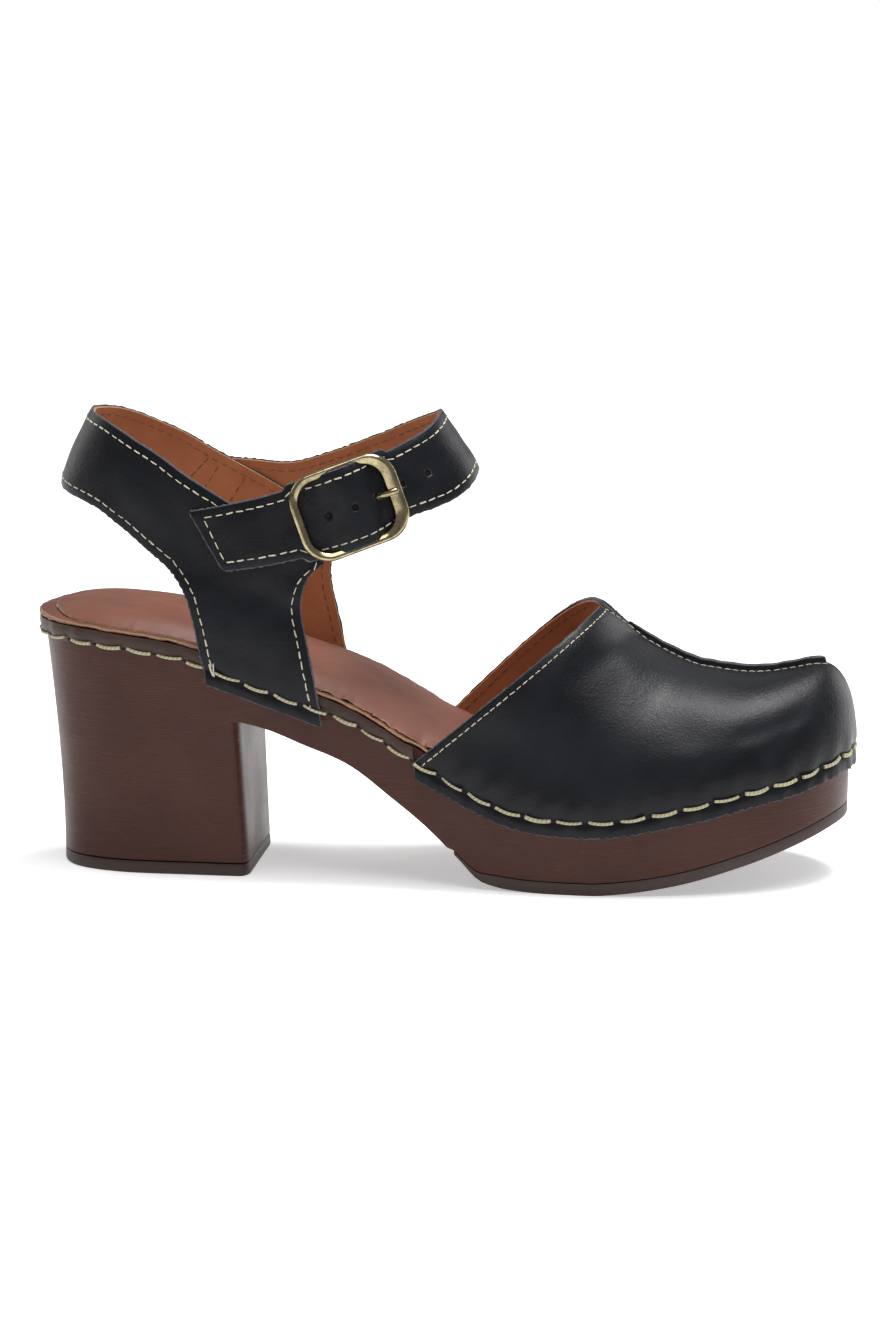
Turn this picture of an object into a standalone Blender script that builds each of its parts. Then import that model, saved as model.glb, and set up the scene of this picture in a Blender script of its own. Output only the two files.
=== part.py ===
"""Heeled clog sandal, right shoe: sole unit, insole, rand, vamp, quarter with straps, and buckle.

Sizes are in millimetres. Before the last shift the sole's heel back is at x = 0, the toe points along +X,
the lateral side is -Y and the medial side +Y, and the floor is z = 0. Tables hold shares of the named sizes.
"""
import math

import bmesh
import bpy
import numpy as np

MM = 0.001

# Driving sizes
LENGTH = 249.0
BALL_WIDTH = 90.0
PLATFORM_HEIGHT = 23.2
SEAT_RISE = 49.6
TOE_SPRING = 19.0
ARCH_HEIGHT = 49.0
HEEL_LENGTH = 64.0
HEEL_TAPER = 5.2
BREAST_SLANT = 2.6
BREAST_CORNER = 3.0
HEEL_TOP_PIECE = 4.0
OUTSOLE = 3.7
OUTSOLE_EDGE = 1.0
CLEARANCE = 0.3
MERGE = 0.01
CORNER_ANGLE = 35.0
TUCK = 0.8
RAND_SHOW = 4.3
RAND_BELOW = 1.0
RAND_WALL = 1.6
COVER_WALL = 1.6
RIM_WIDTH = 4.8
RIM_RISE = 0.8
GROOVE_WIDTH = 1.0
GROOVE_DEPTH = 0.8
SOCK_RISE = 1.4
SOCK_SHOULDER = 12.0
SOCK_CROWN = 2.6
INSTEP_HEIGHT = 82.0
UPPER_WALL = 1.8
MARGIN = 4.5
SEAM_HALF = 1.6
SEAM_STEP = 0.3
SEAM_HEIGHT = 1.9
THROAT_NOTCH = 5.5
ANKLE_HEIGHT = 141.0
ANKLE_WIDTH = 61.0
ANKLE_BLEND = 24.0
STRAP_HOLE = 2.8
HOLE_PITCH = 9.0
HOLES = (-2, -1, 0, 1, 2)
BUCKLE_LENGTH = 34.5
BUCKLE_WIDTH = 27.5
BUCKLE_CORNER = 7.5
BUCKLE_DEPTH = 2.2
BUCKLE_CHAMFER = 0.5
BUCKLE_STATION = 0.4005
BUCKLE_LEVEL = 0.8235
BUCKLE_TILT = 19.5
BAR_SIDE = 2.6
BAR_FRONT = 4.6
BAR_REAR = 3.0
BAR_RADIUS = 1.2
PRONG_RADIUS = 0.9
PRONG_WIDTH = 2.0
PRONG_EYE = 0.4
PRONG_HOLE = 9.5
PRONG_SLOPE = 33.0
PRONG_PLAY = 0.5
TAB_WALL = 1.0
TAB_WIDTH = 13.0
TAB_FOOT = 12.0
TAB_SLANT = (4.0, 2.5)
TAB_SLOT = (-5.0, 6.0)
TAB_SLOT_DEPTH = (-4.0, 5.0)

# Sole: half widths are shares of BALL_WIDTH, seat of SEAT_RISE, edge and tread of TOE_SPRING
SOLE_COLUMNS = ("station", "lateral", "medial", "seat", "edge", "tread")
SOLE_SECTIONS = np.array([
    (0.00, 0.000, 0.000, 1.000, 0.00, 0.00),
    (0.03, 0.233, 0.233, 1.000, 0.00, 0.00),
    (0.10, 0.337, 0.331, 0.976, 0.00, 0.00),
    (0.20, 0.360, 0.342, 0.897, 0.00, 0.00),
    (0.30, 0.370, 0.331, 0.722, 0.00, 0.00),
    (0.40, 0.387, 0.326, 0.546, 0.00, 0.00),
    (0.50, 0.426, 0.351, 0.268, 0.00, 0.00),
    (0.60, 0.476, 0.407, 0.046, 0.00, 0.00),
    (0.70, 0.506, 0.462, 0.000, 0.01, 0.00),
    (0.80, 0.483, 0.473, 0.000, 0.21, 0.17),
    (0.88, 0.417, 0.429, 0.000, 0.45, 0.45),
    (0.94, 0.317, 0.339, 0.000, 0.63, 0.72),
    (0.98, 0.189, 0.202, 0.000, 0.80, 0.92),
    (1.00, 0.000, 0.000, 0.000, 0.91, 1.04),
])
# Arch: underside height as a share of ARCH_HEIGHT
ARCH_COLUMNS = ("station", "height")
ARCH_SECTIONS = np.array([
    (0.20, 1.000), (0.256, 1.000), (0.295, 0.955), (0.335, 0.875), (0.40, 0.735), (0.445, 0.565), (0.49, 0.385),
    (0.53, 0.190), (0.555, 0.062), (0.575, 0.028), (0.61, 0.006), (0.64, 0.000), (0.75, 0.000), (1.00, 0.000),
])
# Crest of the vamp: height of its centre line without the seam, as a share of INSTEP_HEIGHT
CREST_COLUMNS = ("station", "height")
CREST_SECTIONS = np.array([
    (0.690, 1.018), (0.700, 1.005), (0.7285, 0.917), (0.7526, 0.873), (0.790, 0.817), (0.815, 0.789),
    (0.8395, 0.777), (0.864, 0.768), (0.889, 0.766), (0.913, 0.774), (0.938, 0.790), (0.952, 0.800),
    (0.980, 0.806),
])
# Vamp ribs: where a rib starts on the sole and ends on the crest (stations), its shoulder beside the throat
# notch, its lean (1 is a straight line in side view) and its fullness (the power of its rounded section)
RIB_COLUMNS = ("foot", "shoulder", "crest", "lateral_lean", "medial_lean", "lateral_fullness", "medial_fullness")
RIB_SECTIONS = np.array([
    (0.481, 0.6935, 0.7310, 0.95, 0.80, 2.50, 3.10),
    (0.560, 0.743, 0.7580, 0.87, 0.80, 2.50, 2.85),
    (0.640, 0.787, 0.7900, 0.70, 0.68, 2.50, 2.65),
    (0.720, 0.828, 0.8280, 0.45, 0.45, 2.45, 2.50),
    (0.800, 0.868, 0.8680, 0.25, 0.25, 2.40, 2.40),
    (0.880, 0.905, 0.9050, 0.10, 0.10, 2.40, 2.40),
    (0.940, 0.935, 0.9350, 0.00, 0.00, 2.35, 2.35),
    (0.980, 0.955, 0.9550, 0.00, 0.00, 2.35, 2.35),
    (1.000, 0.9615, 0.9615, 0.00, 0.00, 2.35, 2.35),
])
# Ankle: half widths at a height, shares of ANKLE_WIDTH at a share of ANKLE_HEIGHT, with the back and the
# front of the leg's outline in side view as shares of LENGTH
LEG_COLUMNS = ("height", "lateral", "medial", "back", "front")
LEG_SECTIONS = np.array([
    (0.30, 0.610, 0.560, 0.026, 0.549),
    (0.43, 0.592, 0.552, 0.026, 0.549),
    (0.57, 0.560, 0.540, 0.026, 0.548),
    (0.71, 0.530, 0.520, 0.026, 0.546),
    (0.835, 0.505, 0.498, 0.026, 0.543),
    (1.00, 0.450, 0.445, 0.065, 0.488),
])
# Quarter: each section runs from the upper or front edge to the lower or rear edge, from the heel back down to
# the sole; stations are shares of LENGTH and heights shares of ANKLE_HEIGHT. Row 6 is the pointed corner.
QUARTER_COLUMNS = ("upper_station", "upper_height", "lower_station", "lower_height")
QUARTER_CORNER = 6
QUARTER_SECTIONS = np.array([
    (0.0650, 0.997, 0.0260, 0.840),
    (0.0904, 0.981, 0.0671, 0.811),
    (0.1466, 0.932, 0.1092, 0.770),
    (0.1984, 0.875, 0.1482, 0.718),
    (0.2570, 0.816, 0.1727, 0.683),
    (0.3133, 0.755, 0.1880, 0.649),
    (0.3647, 0.699, 0.1992, 0.613),
    (0.3462, 0.670, 0.2044, 0.582),
    (0.3373, 0.628, 0.2084, 0.557),
    (0.3373, 0.582, 0.2120, 0.528),
    (0.3466, 0.511, 0.2165, 0.489),
    (0.3582, 0.415, 0.2209, 0.462),
    (0.3639, 0.350, 0.2221, 0.438),
])
# Ankle strap from its sewn start on the medial side round the front to its tail on the lateral side: side is
# +1 medial or -1 lateral, stations and heights of its two edges, and how far it stands off the leg in walls
STRAP_COLUMNS = ("side", "upper_station", "upper_height", "lower_station", "lower_height", "lift")
STRAP_SECTIONS = np.array([
    (1, 0.197, 0.862, 0.165, 0.738, 0.85),
    (1, 0.241, 0.855, 0.229, 0.713, 0.85),
    (1, 0.289, 0.850, 0.289, 0.706, 0.85),
    (1, 0.337, 0.874, 0.345, 0.727, 0.85),
    (1, 0.390, 0.912, 0.414, 0.770, 0.45),
    (1, 0.442, 0.955, 0.476, 0.812, 0.05),
    (1, 0.476, 0.983, 0.518, 0.848, 0.00),
    (1, 0.494, 0.997, 0.538, 0.871, 0.00),
    (-1, 0.472, 0.962, 0.512, 0.826, 0.05),
    (-1, 0.4365, 0.9305, 0.4615, 0.7958, 0.30),
    (-1, 0.4135, 0.9115, 0.4375, 0.7735, 0.80),
    (-1, 0.3968, 0.8975, 0.4215, 0.7600, 2.60),
    (-1, 0.3802, 0.8855, 0.4052, 0.7485, 3.25),
    (-1, 0.3635, 0.8755, 0.3885, 0.7370, 2.55),
    (-1, 0.3468, 0.8665, 0.3718, 0.7270, 1.35),
    (-1, 0.3180, 0.8530, 0.3430, 0.7140, 1.17),
    (-1, 0.283, 0.835, 0.295, 0.695, 1.17),
    (-1, 0.233, 0.815, 0.261, 0.685, 1.17),
    (-1, 0.203, 0.805, 0.245, 0.681, 1.17),
])
# Named sides, stations and walls that follow from the sizes, and shares across a face between two sides
SIDES = {-1: "lateral", 1: "medial"}
BREAST = HEEL_LENGTH / LENGTH
VAMP_START = RIB_SECTIONS[0, 0]
OUTSOLE_START = 0.525
OUTSOLE_FULL = 0.585
TOE_START = 0.80
ACROSS = np.array([0.0, 0.03, 0.09, 0.5, 0.91, 0.97, 1.0])
BREAST_BOW = BREAST_CORNER * np.array([0.7, 1.0, 1.0, 1.0, 0.7])
RAND_OUT = CLEARANCE + RAND_WALL
QUARTER_IN = RAND_OUT + CLEARANCE
SOLE_TURNS = (9, 11, 2, 22)
QUARTER_STEPS = (14, 9)
QUARTER_ACROSS = 6
STRAP_STEPS = 56
STRAP_ACROSS = 3
EYE_POINTS = 9
PRONG_BEND = EYE_POINTS + 2
RIB_ANGLES = np.array([0.0, 3.0, 8.0, 20.0, 33.0, 45.0, 57.0, 70.0, 83.0])
SIDE_ROWS = 3
HEEL_ROWS = 4


def column(table, columns, name):
    """One named column of a table."""
    return table[:, columns.index(name)]


def smooth(xs, ys, at):
    """Cubic curve through the points (xs, ys), read at the values at."""
    xs, ys, at = np.asarray(xs, float), np.asarray(ys, float), np.asarray(at, float)
    slopes = np.gradient(ys, xs)
    at = np.clip(at, xs[0], xs[-1])
    i = np.clip(np.searchsorted(xs, at, side="right") - 1, 0, len(xs) - 2)
    span = xs[i + 1] - xs[i]
    s = (at - xs[i]) / span
    return (
        ys[i] * (1 + 2 * s) * (1 - s) ** 2
        + ys[i + 1] * s * s * (3 - 2 * s)
        + slopes[i] * span * s * (1 - s) ** 2
        - slopes[i + 1] * span * s * s * (1 - s)
    )


def ease(s):
    """Smooth step from 0 to 1."""
    s = np.clip(s, 0.0, 1.0)
    return s * s * (3.0 - 2.0 * s)


def turn_of(station):
    """Turn 0..1 from the heel back to the toe tip, close-set at both round ends."""
    return np.arccos(np.clip(1.0 - 2.0 * np.asarray(station, float), -1.0, 1.0)) / math.pi


def station_of(turn):
    """Station of a turn: the reverse of turn_of."""
    return (1.0 - np.cos(math.pi * np.asarray(turn, float))) / 2.0


def sole_value(name, turn):
    """A column of the sole table at a turn."""
    turns = turn_of(column(SOLE_SECTIONS, SOLE_COLUMNS, "station"))
    return smooth(turns, column(SOLE_SECTIONS, SOLE_COLUMNS, name), turn)


def stitch_height(x):
    """Height of the stitch line along the sole's side."""
    turn = turn_of(np.clip(np.asarray(x, float) / LENGTH, 0.0, 1.0))
    return PLATFORM_HEIGHT + SEAT_RISE * sole_value("seat", turn) + TOE_SPRING * sole_value("edge", turn)


def top_height(x):
    """Height of the sole's top face, level with the top of the rand."""
    return stitch_height(x) + RAND_SHOW


def tread_height(x):
    """Height of the forefoot tread over the floor."""
    turn = turn_of(np.clip(np.asarray(x, float) / LENGTH, 0.0, 1.0))
    return np.maximum(TOE_SPRING * sole_value("tread", turn), 0.0)


def arch_height(x):
    """Height of the arch's underside."""
    stations = column(ARCH_SECTIONS, ARCH_COLUMNS, "station")
    heights = smooth(stations, column(ARCH_SECTIONS, ARCH_COLUMNS, "height"), np.asarray(x, float) / LENGTH)
    return ARCH_HEIGHT * np.maximum(heights, 0.0)


def outsole_low(x):
    """Height of the forefoot outsole's lower face, which runs up the foot of the arch."""
    return np.maximum(arch_height(x), tread_height(x))


def outsole_top(x):
    """Height of the forefoot outsole's upper face; it is pared thin up the arch."""
    full = ease((np.asarray(x, float) / LENGTH - OUTSOLE_START) / (OUTSOLE_FULL - OUTSOLE_START))
    return outsole_low(x) + OUTSOLE_EDGE + (OUTSOLE - OUTSOLE_EDGE) * full


def under_height(x):
    """Height of the sole unit's underside: the arch, or the seat of the forefoot outsole."""
    return np.where(x < OUTSOLE_START * LENGTH, arch_height(x), outsole_top(x) + CLEARANCE)


def outline(r):
    """Sole outline in plan: r runs 0..2 from the toe tip by the lateral side, heel and medial side back."""
    r = np.mod(np.asarray(r, float), 2.0)
    turn = np.abs(1.0 - r)
    lateral = -BALL_WIDTH * sole_value("lateral", turn)
    medial = BALL_WIDTH * sole_value("medial", turn)
    return np.stack([LENGTH * station_of(turn), np.where(r < 1.0, lateral, medial)], -1)


def outline_normal(r):
    """Outward normal of the outline in plan."""
    step = 0.002
    along = outline(np.asarray(r) + step) - outline(np.asarray(r) - step)
    along /= np.linalg.norm(along, axis=-1, keepdims=True)
    return np.stack([-along[..., 1], along[..., 0]], -1)


def wall_point(r, z, out=0.0):
    """Point of the sole's side at height z, moved outward by out; the side draws in towards the floor."""
    base = outline(r)
    depth = np.clip((stitch_height(base[..., 0]) - z) / (PLATFORM_HEIGHT + SEAT_RISE), 0.0, 1.0)
    forward = ease((base[..., 0] / LENGTH - TOE_START) / (1.0 - TOE_START))
    inset = HEEL_TAPER * np.sin(depth * math.pi / 2) * (1.0 - TUCK * forward)
    plan = base + outline_normal(r) * np.asarray(out - inset)[..., None]
    return np.concatenate([plan, np.broadcast_to(z, base.shape[:-1])[..., None]], -1)


def side_turn(station, side):
    """Outline parameter of a station on one side: -1 lateral, +1 medial."""
    return 1.0 + side * turn_of(station)


def stations_between(first, last, count):
    """Turns from one station to another, evenly spread in turn."""
    return np.linspace(turn_of(first), turn_of(last), count + 1)


def sole_turns():
    """Turns of the sole's sections, with sections at the breast and where vamp and outsole start."""
    marks = (0.0, BREAST - BREAST_CORNER / LENGTH, VAMP_START, OUTSOLE_START, 1.0)
    parts = [stations_between(a, b, count) for a, b, count in zip(marks[:-1], marks[1:], SOLE_TURNS)]
    return np.concatenate([parts[0]] + [p[1:] for p in parts[1:]])


TURNS = sole_turns()
BREAST_INDEX, VAMP_INDEX, OUTSOLE_INDEX = np.cumsum(SOLE_TURNS)[:3]


class Skin:
    """Collects grids of points and faces for one closed solid."""

    def __init__(self, name):
        self.name = name
        self.points = []
        self.faces = []

    def add(self, grid):
        """Add an array of points and return the array of their numbers."""
        grid = np.asarray(grid, float)
        start = len(self.points)
        self.points.extend(grid.reshape(-1, 3).tolist())
        return np.arange(start, len(self.points)).reshape(grid.shape[:-1])

    def quads(self, ids, close=False):
        """Face a grid of numbers; close joins the last row to the first."""
        ids = np.vstack([ids, ids[:1]]) if close else ids
        for a, b in zip(ids[:-1], ids[1:]):
            for k in range(len(a) - 1):
                self.faces.append((a[k], a[k + 1], b[k + 1], b[k]))

    def shell(self, inner, outer, ends=(True, True), edges=(True, True)):
        """Wall between two grids of one shape, with strips on its ends and edges."""
        a, b = self.add(inner), self.add(outer)
        self.quads(a)
        self.quads(b)
        if ends[0]:
            self.quads(np.stack([a[0], b[0]]))
        if ends[1]:
            self.quads(np.stack([a[-1], b[-1]]))
        if edges[0]:
            self.quads(np.stack([a[:, 0], b[:, 0]]))
        if edges[1]:
            self.quads(np.stack([a[:, -1], b[:, -1]]))

    def build(self, material):
        """Make the object: doubles merged, normals outward."""
        mesh = bpy.data.meshes.new(self.name)
        mesh.from_pydata((np.array(self.points) * MM).tolist(), [], [tuple(int(i) for i in f) for f in self.faces])
        shape = bmesh.new()
        shape.from_mesh(mesh)
        bmesh.ops.remove_doubles(shape, verts=shape.verts, dist=MERGE * MM)
        bmesh.ops.dissolve_degenerate(shape, edges=shape.edges, dist=MERGE * MM / 10)
        bmesh.ops.triangulate(shape, faces=shape.faces)
        bmesh.ops.recalc_face_normals(shape, faces=shape.faces)
        shape.to_mesh(mesh)
        shape.free()
        mesh.shade_smooth()
        mesh.set_sharp_from_angle(angle=math.radians(CORNER_ANGLE))
        made = bpy.data.objects.new(self.name, mesh)
        made.data.materials.append(material)
        bpy.context.collection.objects.link(made)
        return made


def grid_normals(grid):
    """Unit normals of a grid of points."""
    du = np.gradient(grid, axis=0)
    dv = np.gradient(grid, axis=1)
    normal = np.cross(du, dv)
    return normal / np.maximum(np.linalg.norm(normal, axis=-1, keepdims=True), 1e-9)


def finish(name, hex_colour, roughness, metallic=0.0):
    """Principled material of one sub-part."""
    material = bpy.data.materials.new(name)
    material.use_nodes = True
    shader = material.node_tree.nodes["Principled BSDF"]
    linear = [(int(hex_colour[i:i + 2], 16) / 255) ** 2.2 for i in (0, 2, 4)]
    shader.inputs["Base Color"].default_value = (*linear, 1.0)
    shader.inputs["Roughness"].default_value = roughness
    shader.inputs["Metallic"].default_value = metallic
    return material


def sole_unit(material):
    """Platform and block heel in one moulded piece."""
    skin = Skin("sole_unit")
    x = LENGTH * station_of(TURNS)
    lows = np.where(np.arange(len(x)) <= BREAST_INDEX, ARCH_HEIGHT, under_height(x))
    sides = []
    for side in (-1, 1):
        r = 1.0 + side * TURNS
        rows = []
        for k in range(SIDE_ROWS + 1):
            z = top_height(x) + (lows - top_height(x)) * k / SIDE_ROWS
            rows.append(wall_point(r, z))
        ids = skin.add(np.array(rows))
        skin.quads(ids)
        sides.append((ids, np.array(rows)))
    (lat, lat_points), (med, med_points) = sides

    def strip(row, columns, bow=None):
        """Face the span between both sides at one row, along the given columns."""
        span = lat_points[row][columns][:, None] * (1 - ACROSS)[None, :, None]
        span = span + med_points[row][columns][:, None] * ACROSS[None, :, None]
        if bow is not None:
            span[0, 1:-1, 0] += bow
        skin.quads(skin.add(span))

    strip(0, np.arange(len(TURNS)))
    strip(SIDE_ROWS, np.arange(BREAST_INDEX, len(TURNS)), BREAST_BOW)
    rings = [heel_ring(ARCH_HEIGHT + (HEEL_TOP_PIECE + CLEARANCE - ARCH_HEIGHT) * k / HEEL_ROWS)
             for k in range(HEEL_ROWS + 1)]
    ids = skin.add(np.array(rings))
    skin.quads(ids.T, close=True)
    cap(skin, ids[-1])
    return skin.build(material)


def heel_ring(z):
    """Closed ring of the heel at height z: lateral side, back, medial side and the breast."""
    lean = BREAST_SLANT * (1.0 - z / ARCH_HEIGHT)
    corner = turn_of((HEEL_LENGTH - BREAST_CORNER + lean) / LENGTH)
    turns = TURNS[:BREAST_INDEX + 1] * corner / TURNS[BREAST_INDEX]
    lateral = wall_point(1.0 - turns[::-1], z)
    medial = wall_point(1.0 + turns[1:], z)
    across = ACROSS[-2:0:-1]
    breast = lateral[0] * (1 - across)[:, None] + medial[-1] * across[:, None]
    breast[:, 0] += BREAST_BOW
    return np.concatenate([lateral, medial, breast])


def cap(skin, ids):
    """Close a ring of numbers with one face."""
    skin.faces.append(tuple(ids))


def heel_top_piece(material):
    """Thin tread under the heel, to the heel's own outline."""
    skin = Skin("heel_top_piece")
    ids = skin.add(np.array([heel_ring(0.0), heel_ring(HEEL_TOP_PIECE)]))
    skin.quads(ids.T, close=True)
    cap(skin, ids[0])
    cap(skin, ids[1])
    return skin.build(material)


def forefoot_outsole(material):
    """Thin tread under the forefoot, from the foot of the arch to the toe."""
    skin = Skin("forefoot_outsole")
    turns = TURNS[OUTSOLE_INDEX:]
    x = LENGTH * station_of(turns)
    rows = []
    for side, height in ((-1, outsole_low), (-1, outsole_top), (1, outsole_top), (1, outsole_low)):
        rows.append(wall_point(1.0 + side * turns, height(x)))
    ids = skin.add(np.array(rows))
    skin.quads(np.vstack([ids, ids[:1]]))
    skin.faces.append(tuple(ids[:, 0]))
    return skin.build(material)


def insole(material):
    """Leather cover with a flat rim, a stitched groove and a padded sock with a low crown."""
    skin = Skin("insole")
    r = np.concatenate([1.0 - TURNS[::-1], 1.0 + TURNS[1:-1]])
    station = station_of(np.abs(1.0 - r))
    inside = ease((station - VAMP_START + 0.012) / 0.010)
    out = RAND_OUT * (1.0 - inside) - CLEARANCE * inside
    steps = (
        (0.0, 0.0), (0.0, COVER_WALL), (RIM_WIDTH, COVER_WALL + RIM_RISE),
        (RIM_WIDTH + GROOVE_WIDTH / 2, COVER_WALL + RIM_RISE - GROOVE_DEPTH),
        (RIM_WIDTH + GROOVE_WIDTH, COVER_WALL + RIM_RISE + SOCK_RISE * 0.4),
        (RIM_WIDTH + GROOVE_WIDTH * 2, COVER_WALL + RIM_RISE + SOCK_RISE),
        (SOCK_SHOULDER, COVER_WALL + RIM_RISE + SOCK_RISE + SOCK_CROWN * 0.35),
    )
    rows = []
    for inward, rise in steps:
        plan = outline(r) + outline_normal(r) * (out - inward)[:, None]
        z = top_height(plan[:, 0]) + CLEARANCE + rise
        rows.append(np.concatenate([plan, z[:, None]], -1))
    ids = skin.add(np.array(rows))
    skin.quads(ids.T, close=True)
    count = len(TURNS)

    def across(row, points, crown):
        """Face the span of one loop between its two sides, with a crowned middle line."""
        lateral = row[count - 1::-1]
        medial = np.concatenate([row[count - 1:], row[:1]])
        mid = (points[lateral - row[0]] + points[medial - row[0]]) / 2
        mid[:, 2] = top_height(mid[:, 0]) + CLEARANCE + crown
        middle = skin.add(mid)
        skin.quads(np.stack([lateral, middle, medial]))

    crown = COVER_WALL + RIM_RISE + SOCK_RISE + SOCK_CROWN
    across(ids[-1], rows[-1], crown)
    across(ids[0], rows[0], 0.0)
    return skin.build(material)


def rand(material):
    """Leather band round the sole's top edge, open at the front where the vamp takes its place."""
    skin = Skin("rand")
    turns = np.append(TURNS[:VAMP_INDEX], turn_of(VAMP_START - 2 * CLEARANCE / LENGTH))
    r = np.concatenate([1.0 - turns[::-1], 1.0 + turns[1:]])
    x = outline(r)[:, 0]
    rows = []
    for out, z in (
        (CLEARANCE, stitch_height(x) - RAND_BELOW), (RAND_OUT, stitch_height(x) - RAND_BELOW),
        (RAND_OUT, top_height(x)), (CLEARANCE, top_height(x)),
    ):
        rows.append(wall_point(r, z, out))
    ids = skin.add(np.array(rows))
    skin.quads(np.vstack([ids, ids[:1]]))
    cap(skin, ids[:, 0])
    cap(skin, ids[:, -1])
    return skin.build(material)


def crest_height(x):
    """Height of the vamp's outer centre line, without the standing seam."""
    stations = column(CREST_SECTIONS, CREST_COLUMNS, "station")
    return INSTEP_HEIGHT * smooth(stations, column(CREST_SECTIONS, CREST_COLUMNS, "height"), np.asarray(x) / LENGTH)


def rib_value(name, turn):
    """A column of the rib table at a turn."""
    turns = turn_of(column(RIB_SECTIONS, RIB_COLUMNS, "foot"))
    return smooth(turns, column(RIB_SECTIONS, RIB_COLUMNS, name), turn)


def vamp_rib(turn, side):
    """Inner points of one rib, from its lower margin on the sole's side up to the crest."""
    r = 1.0 + side * turn
    foot_x = outline(r)[0]
    stitch = stitch_height(foot_x)
    low = [wall_point(r, stitch - MARGIN * share, CLEARANCE) for share in (1.0, 0.5)]
    foot = wall_point(r, stitch, CLEARANCE)
    shoulder = np.array([rib_value("shoulder", turn) * LENGTH, 0.0])
    crest = np.array([rib_value("crest", turn) * LENGTH, 0.0])
    reach = np.linalg.norm(shoulder - foot[:2])
    power = 2.0 / rib_value(SIDES[side] + "_fullness", turn)
    lean = rib_value(SIDES[side] + "_lean", turn)
    curve = np.cos(np.radians(RIB_ANGLES)) ** power
    beside = 4.0 * SEAM_HALF / reach
    flat = beside + (1.0 - beside) * (curve - curve[-1]) / (1.0 - curve[-1])
    seam = np.array([3.0 * SEAM_HALF, SEAM_HALF + SEAM_STEP, SEAM_HALF, 0.0]) / reach
    flat = np.concatenate([flat, seam])
    rise = (1.0 - np.minimum(flat, 1.0) ** (2.0 / power)) ** (power / 2.0)
    x_share = (1.0 - lean) * (1.0 - flat) + lean * rise
    off = flat * abs(foot[1])
    notch = np.clip(1.0 - off / THROAT_NOTCH, 0.0, 1.0)
    x = foot[0] + (shoulder[0] - foot[0]) * x_share + (crest[0] - shoulder[0]) * notch
    top = crest_height(shoulder[0]) - UPPER_WALL
    z = foot[2] + (top - foot[2]) * rise + (crest_height(crest[0]) - crest_height(shoulder[0])) * notch
    edge = wall_point(side_turn(np.clip(x / LENGTH, 0.0, 1.0), side), stitch_height(x), CLEARANCE)[:, 1]
    y = (foot[1] * (1.0 - lean) + edge * lean) * flat
    return np.vstack([low, np.stack([x, y, z], -1)])


def vamp(material):
    """Hollow closed-toe upper: ribs fan out from the sole's edge to the crest, with a standing centre seam."""
    skin = Skin("vamp")
    turns = TURNS[VAMP_INDEX:]
    ribs = []
    for turn in turns:
        lateral, medial = vamp_rib(turn, -1), vamp_rib(turn, 1)
        ribs.append(np.vstack([lateral, medial[-2::-1]]))
    inner = np.array(ribs)
    ghost = np.concatenate([inner, inner[-2:-1, ::-1]])
    normal = grid_normals(ghost)[:-1]
    middle = inner.shape[1] // 2
    if normal[len(normal) // 2, middle, 2] < 0:
        normal = -normal
    outer = inner + normal * UPPER_WALL
    for k in (middle - 1, middle, middle + 1):
        outer[:, k, 2] += SEAM_HEIGHT
    skin.shell(inner, outer, ends=(True, False))
    return skin.build(material)


def leg_value(name, z):
    """A column of the ankle table at a height."""
    return smooth(column(LEG_SECTIONS, LEG_COLUMNS, "height"), column(LEG_SECTIONS, LEG_COLUMNS, name),
                  np.asarray(z, float) / ANKLE_HEIGHT)


def leg_angle(x, z):
    """Angle round the ankle of a point in side view: 0 at the front, pi at the back."""
    back, front = leg_value("back", z) * LENGTH, leg_value("front", z) * LENGTH
    return np.arccos(np.clip((2.0 * x - back - front) / (front - back), -1.0, 1.0))


def leg_point(angle, z, side):
    """Point of the inner face of the upper round the ankle, drawn out to the sole's side low down."""
    back, front = leg_value("back", z) * LENGTH, leg_value("front", z) * LENGTH
    x = (back + front) / 2 + np.cos(angle) * (front - back) / 2
    half = np.where(side < 0, leg_value("lateral", z), leg_value("medial", z)) * ANKLE_WIDTH
    y = half * np.abs(np.sin(angle)) ** 0.9
    station = np.clip(x / LENGTH, 0.0, 1.0)
    foot = np.abs(wall_point(side_turn(station, side), np.minimum(z, top_height(x)), QUARTER_IN)[..., 1])
    share = ease((z - top_height(x) - RAND_BELOW) / ANKLE_BLEND)
    return np.stack([x, side * (foot * (1.0 - share) + y * share), z], -1)


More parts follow.
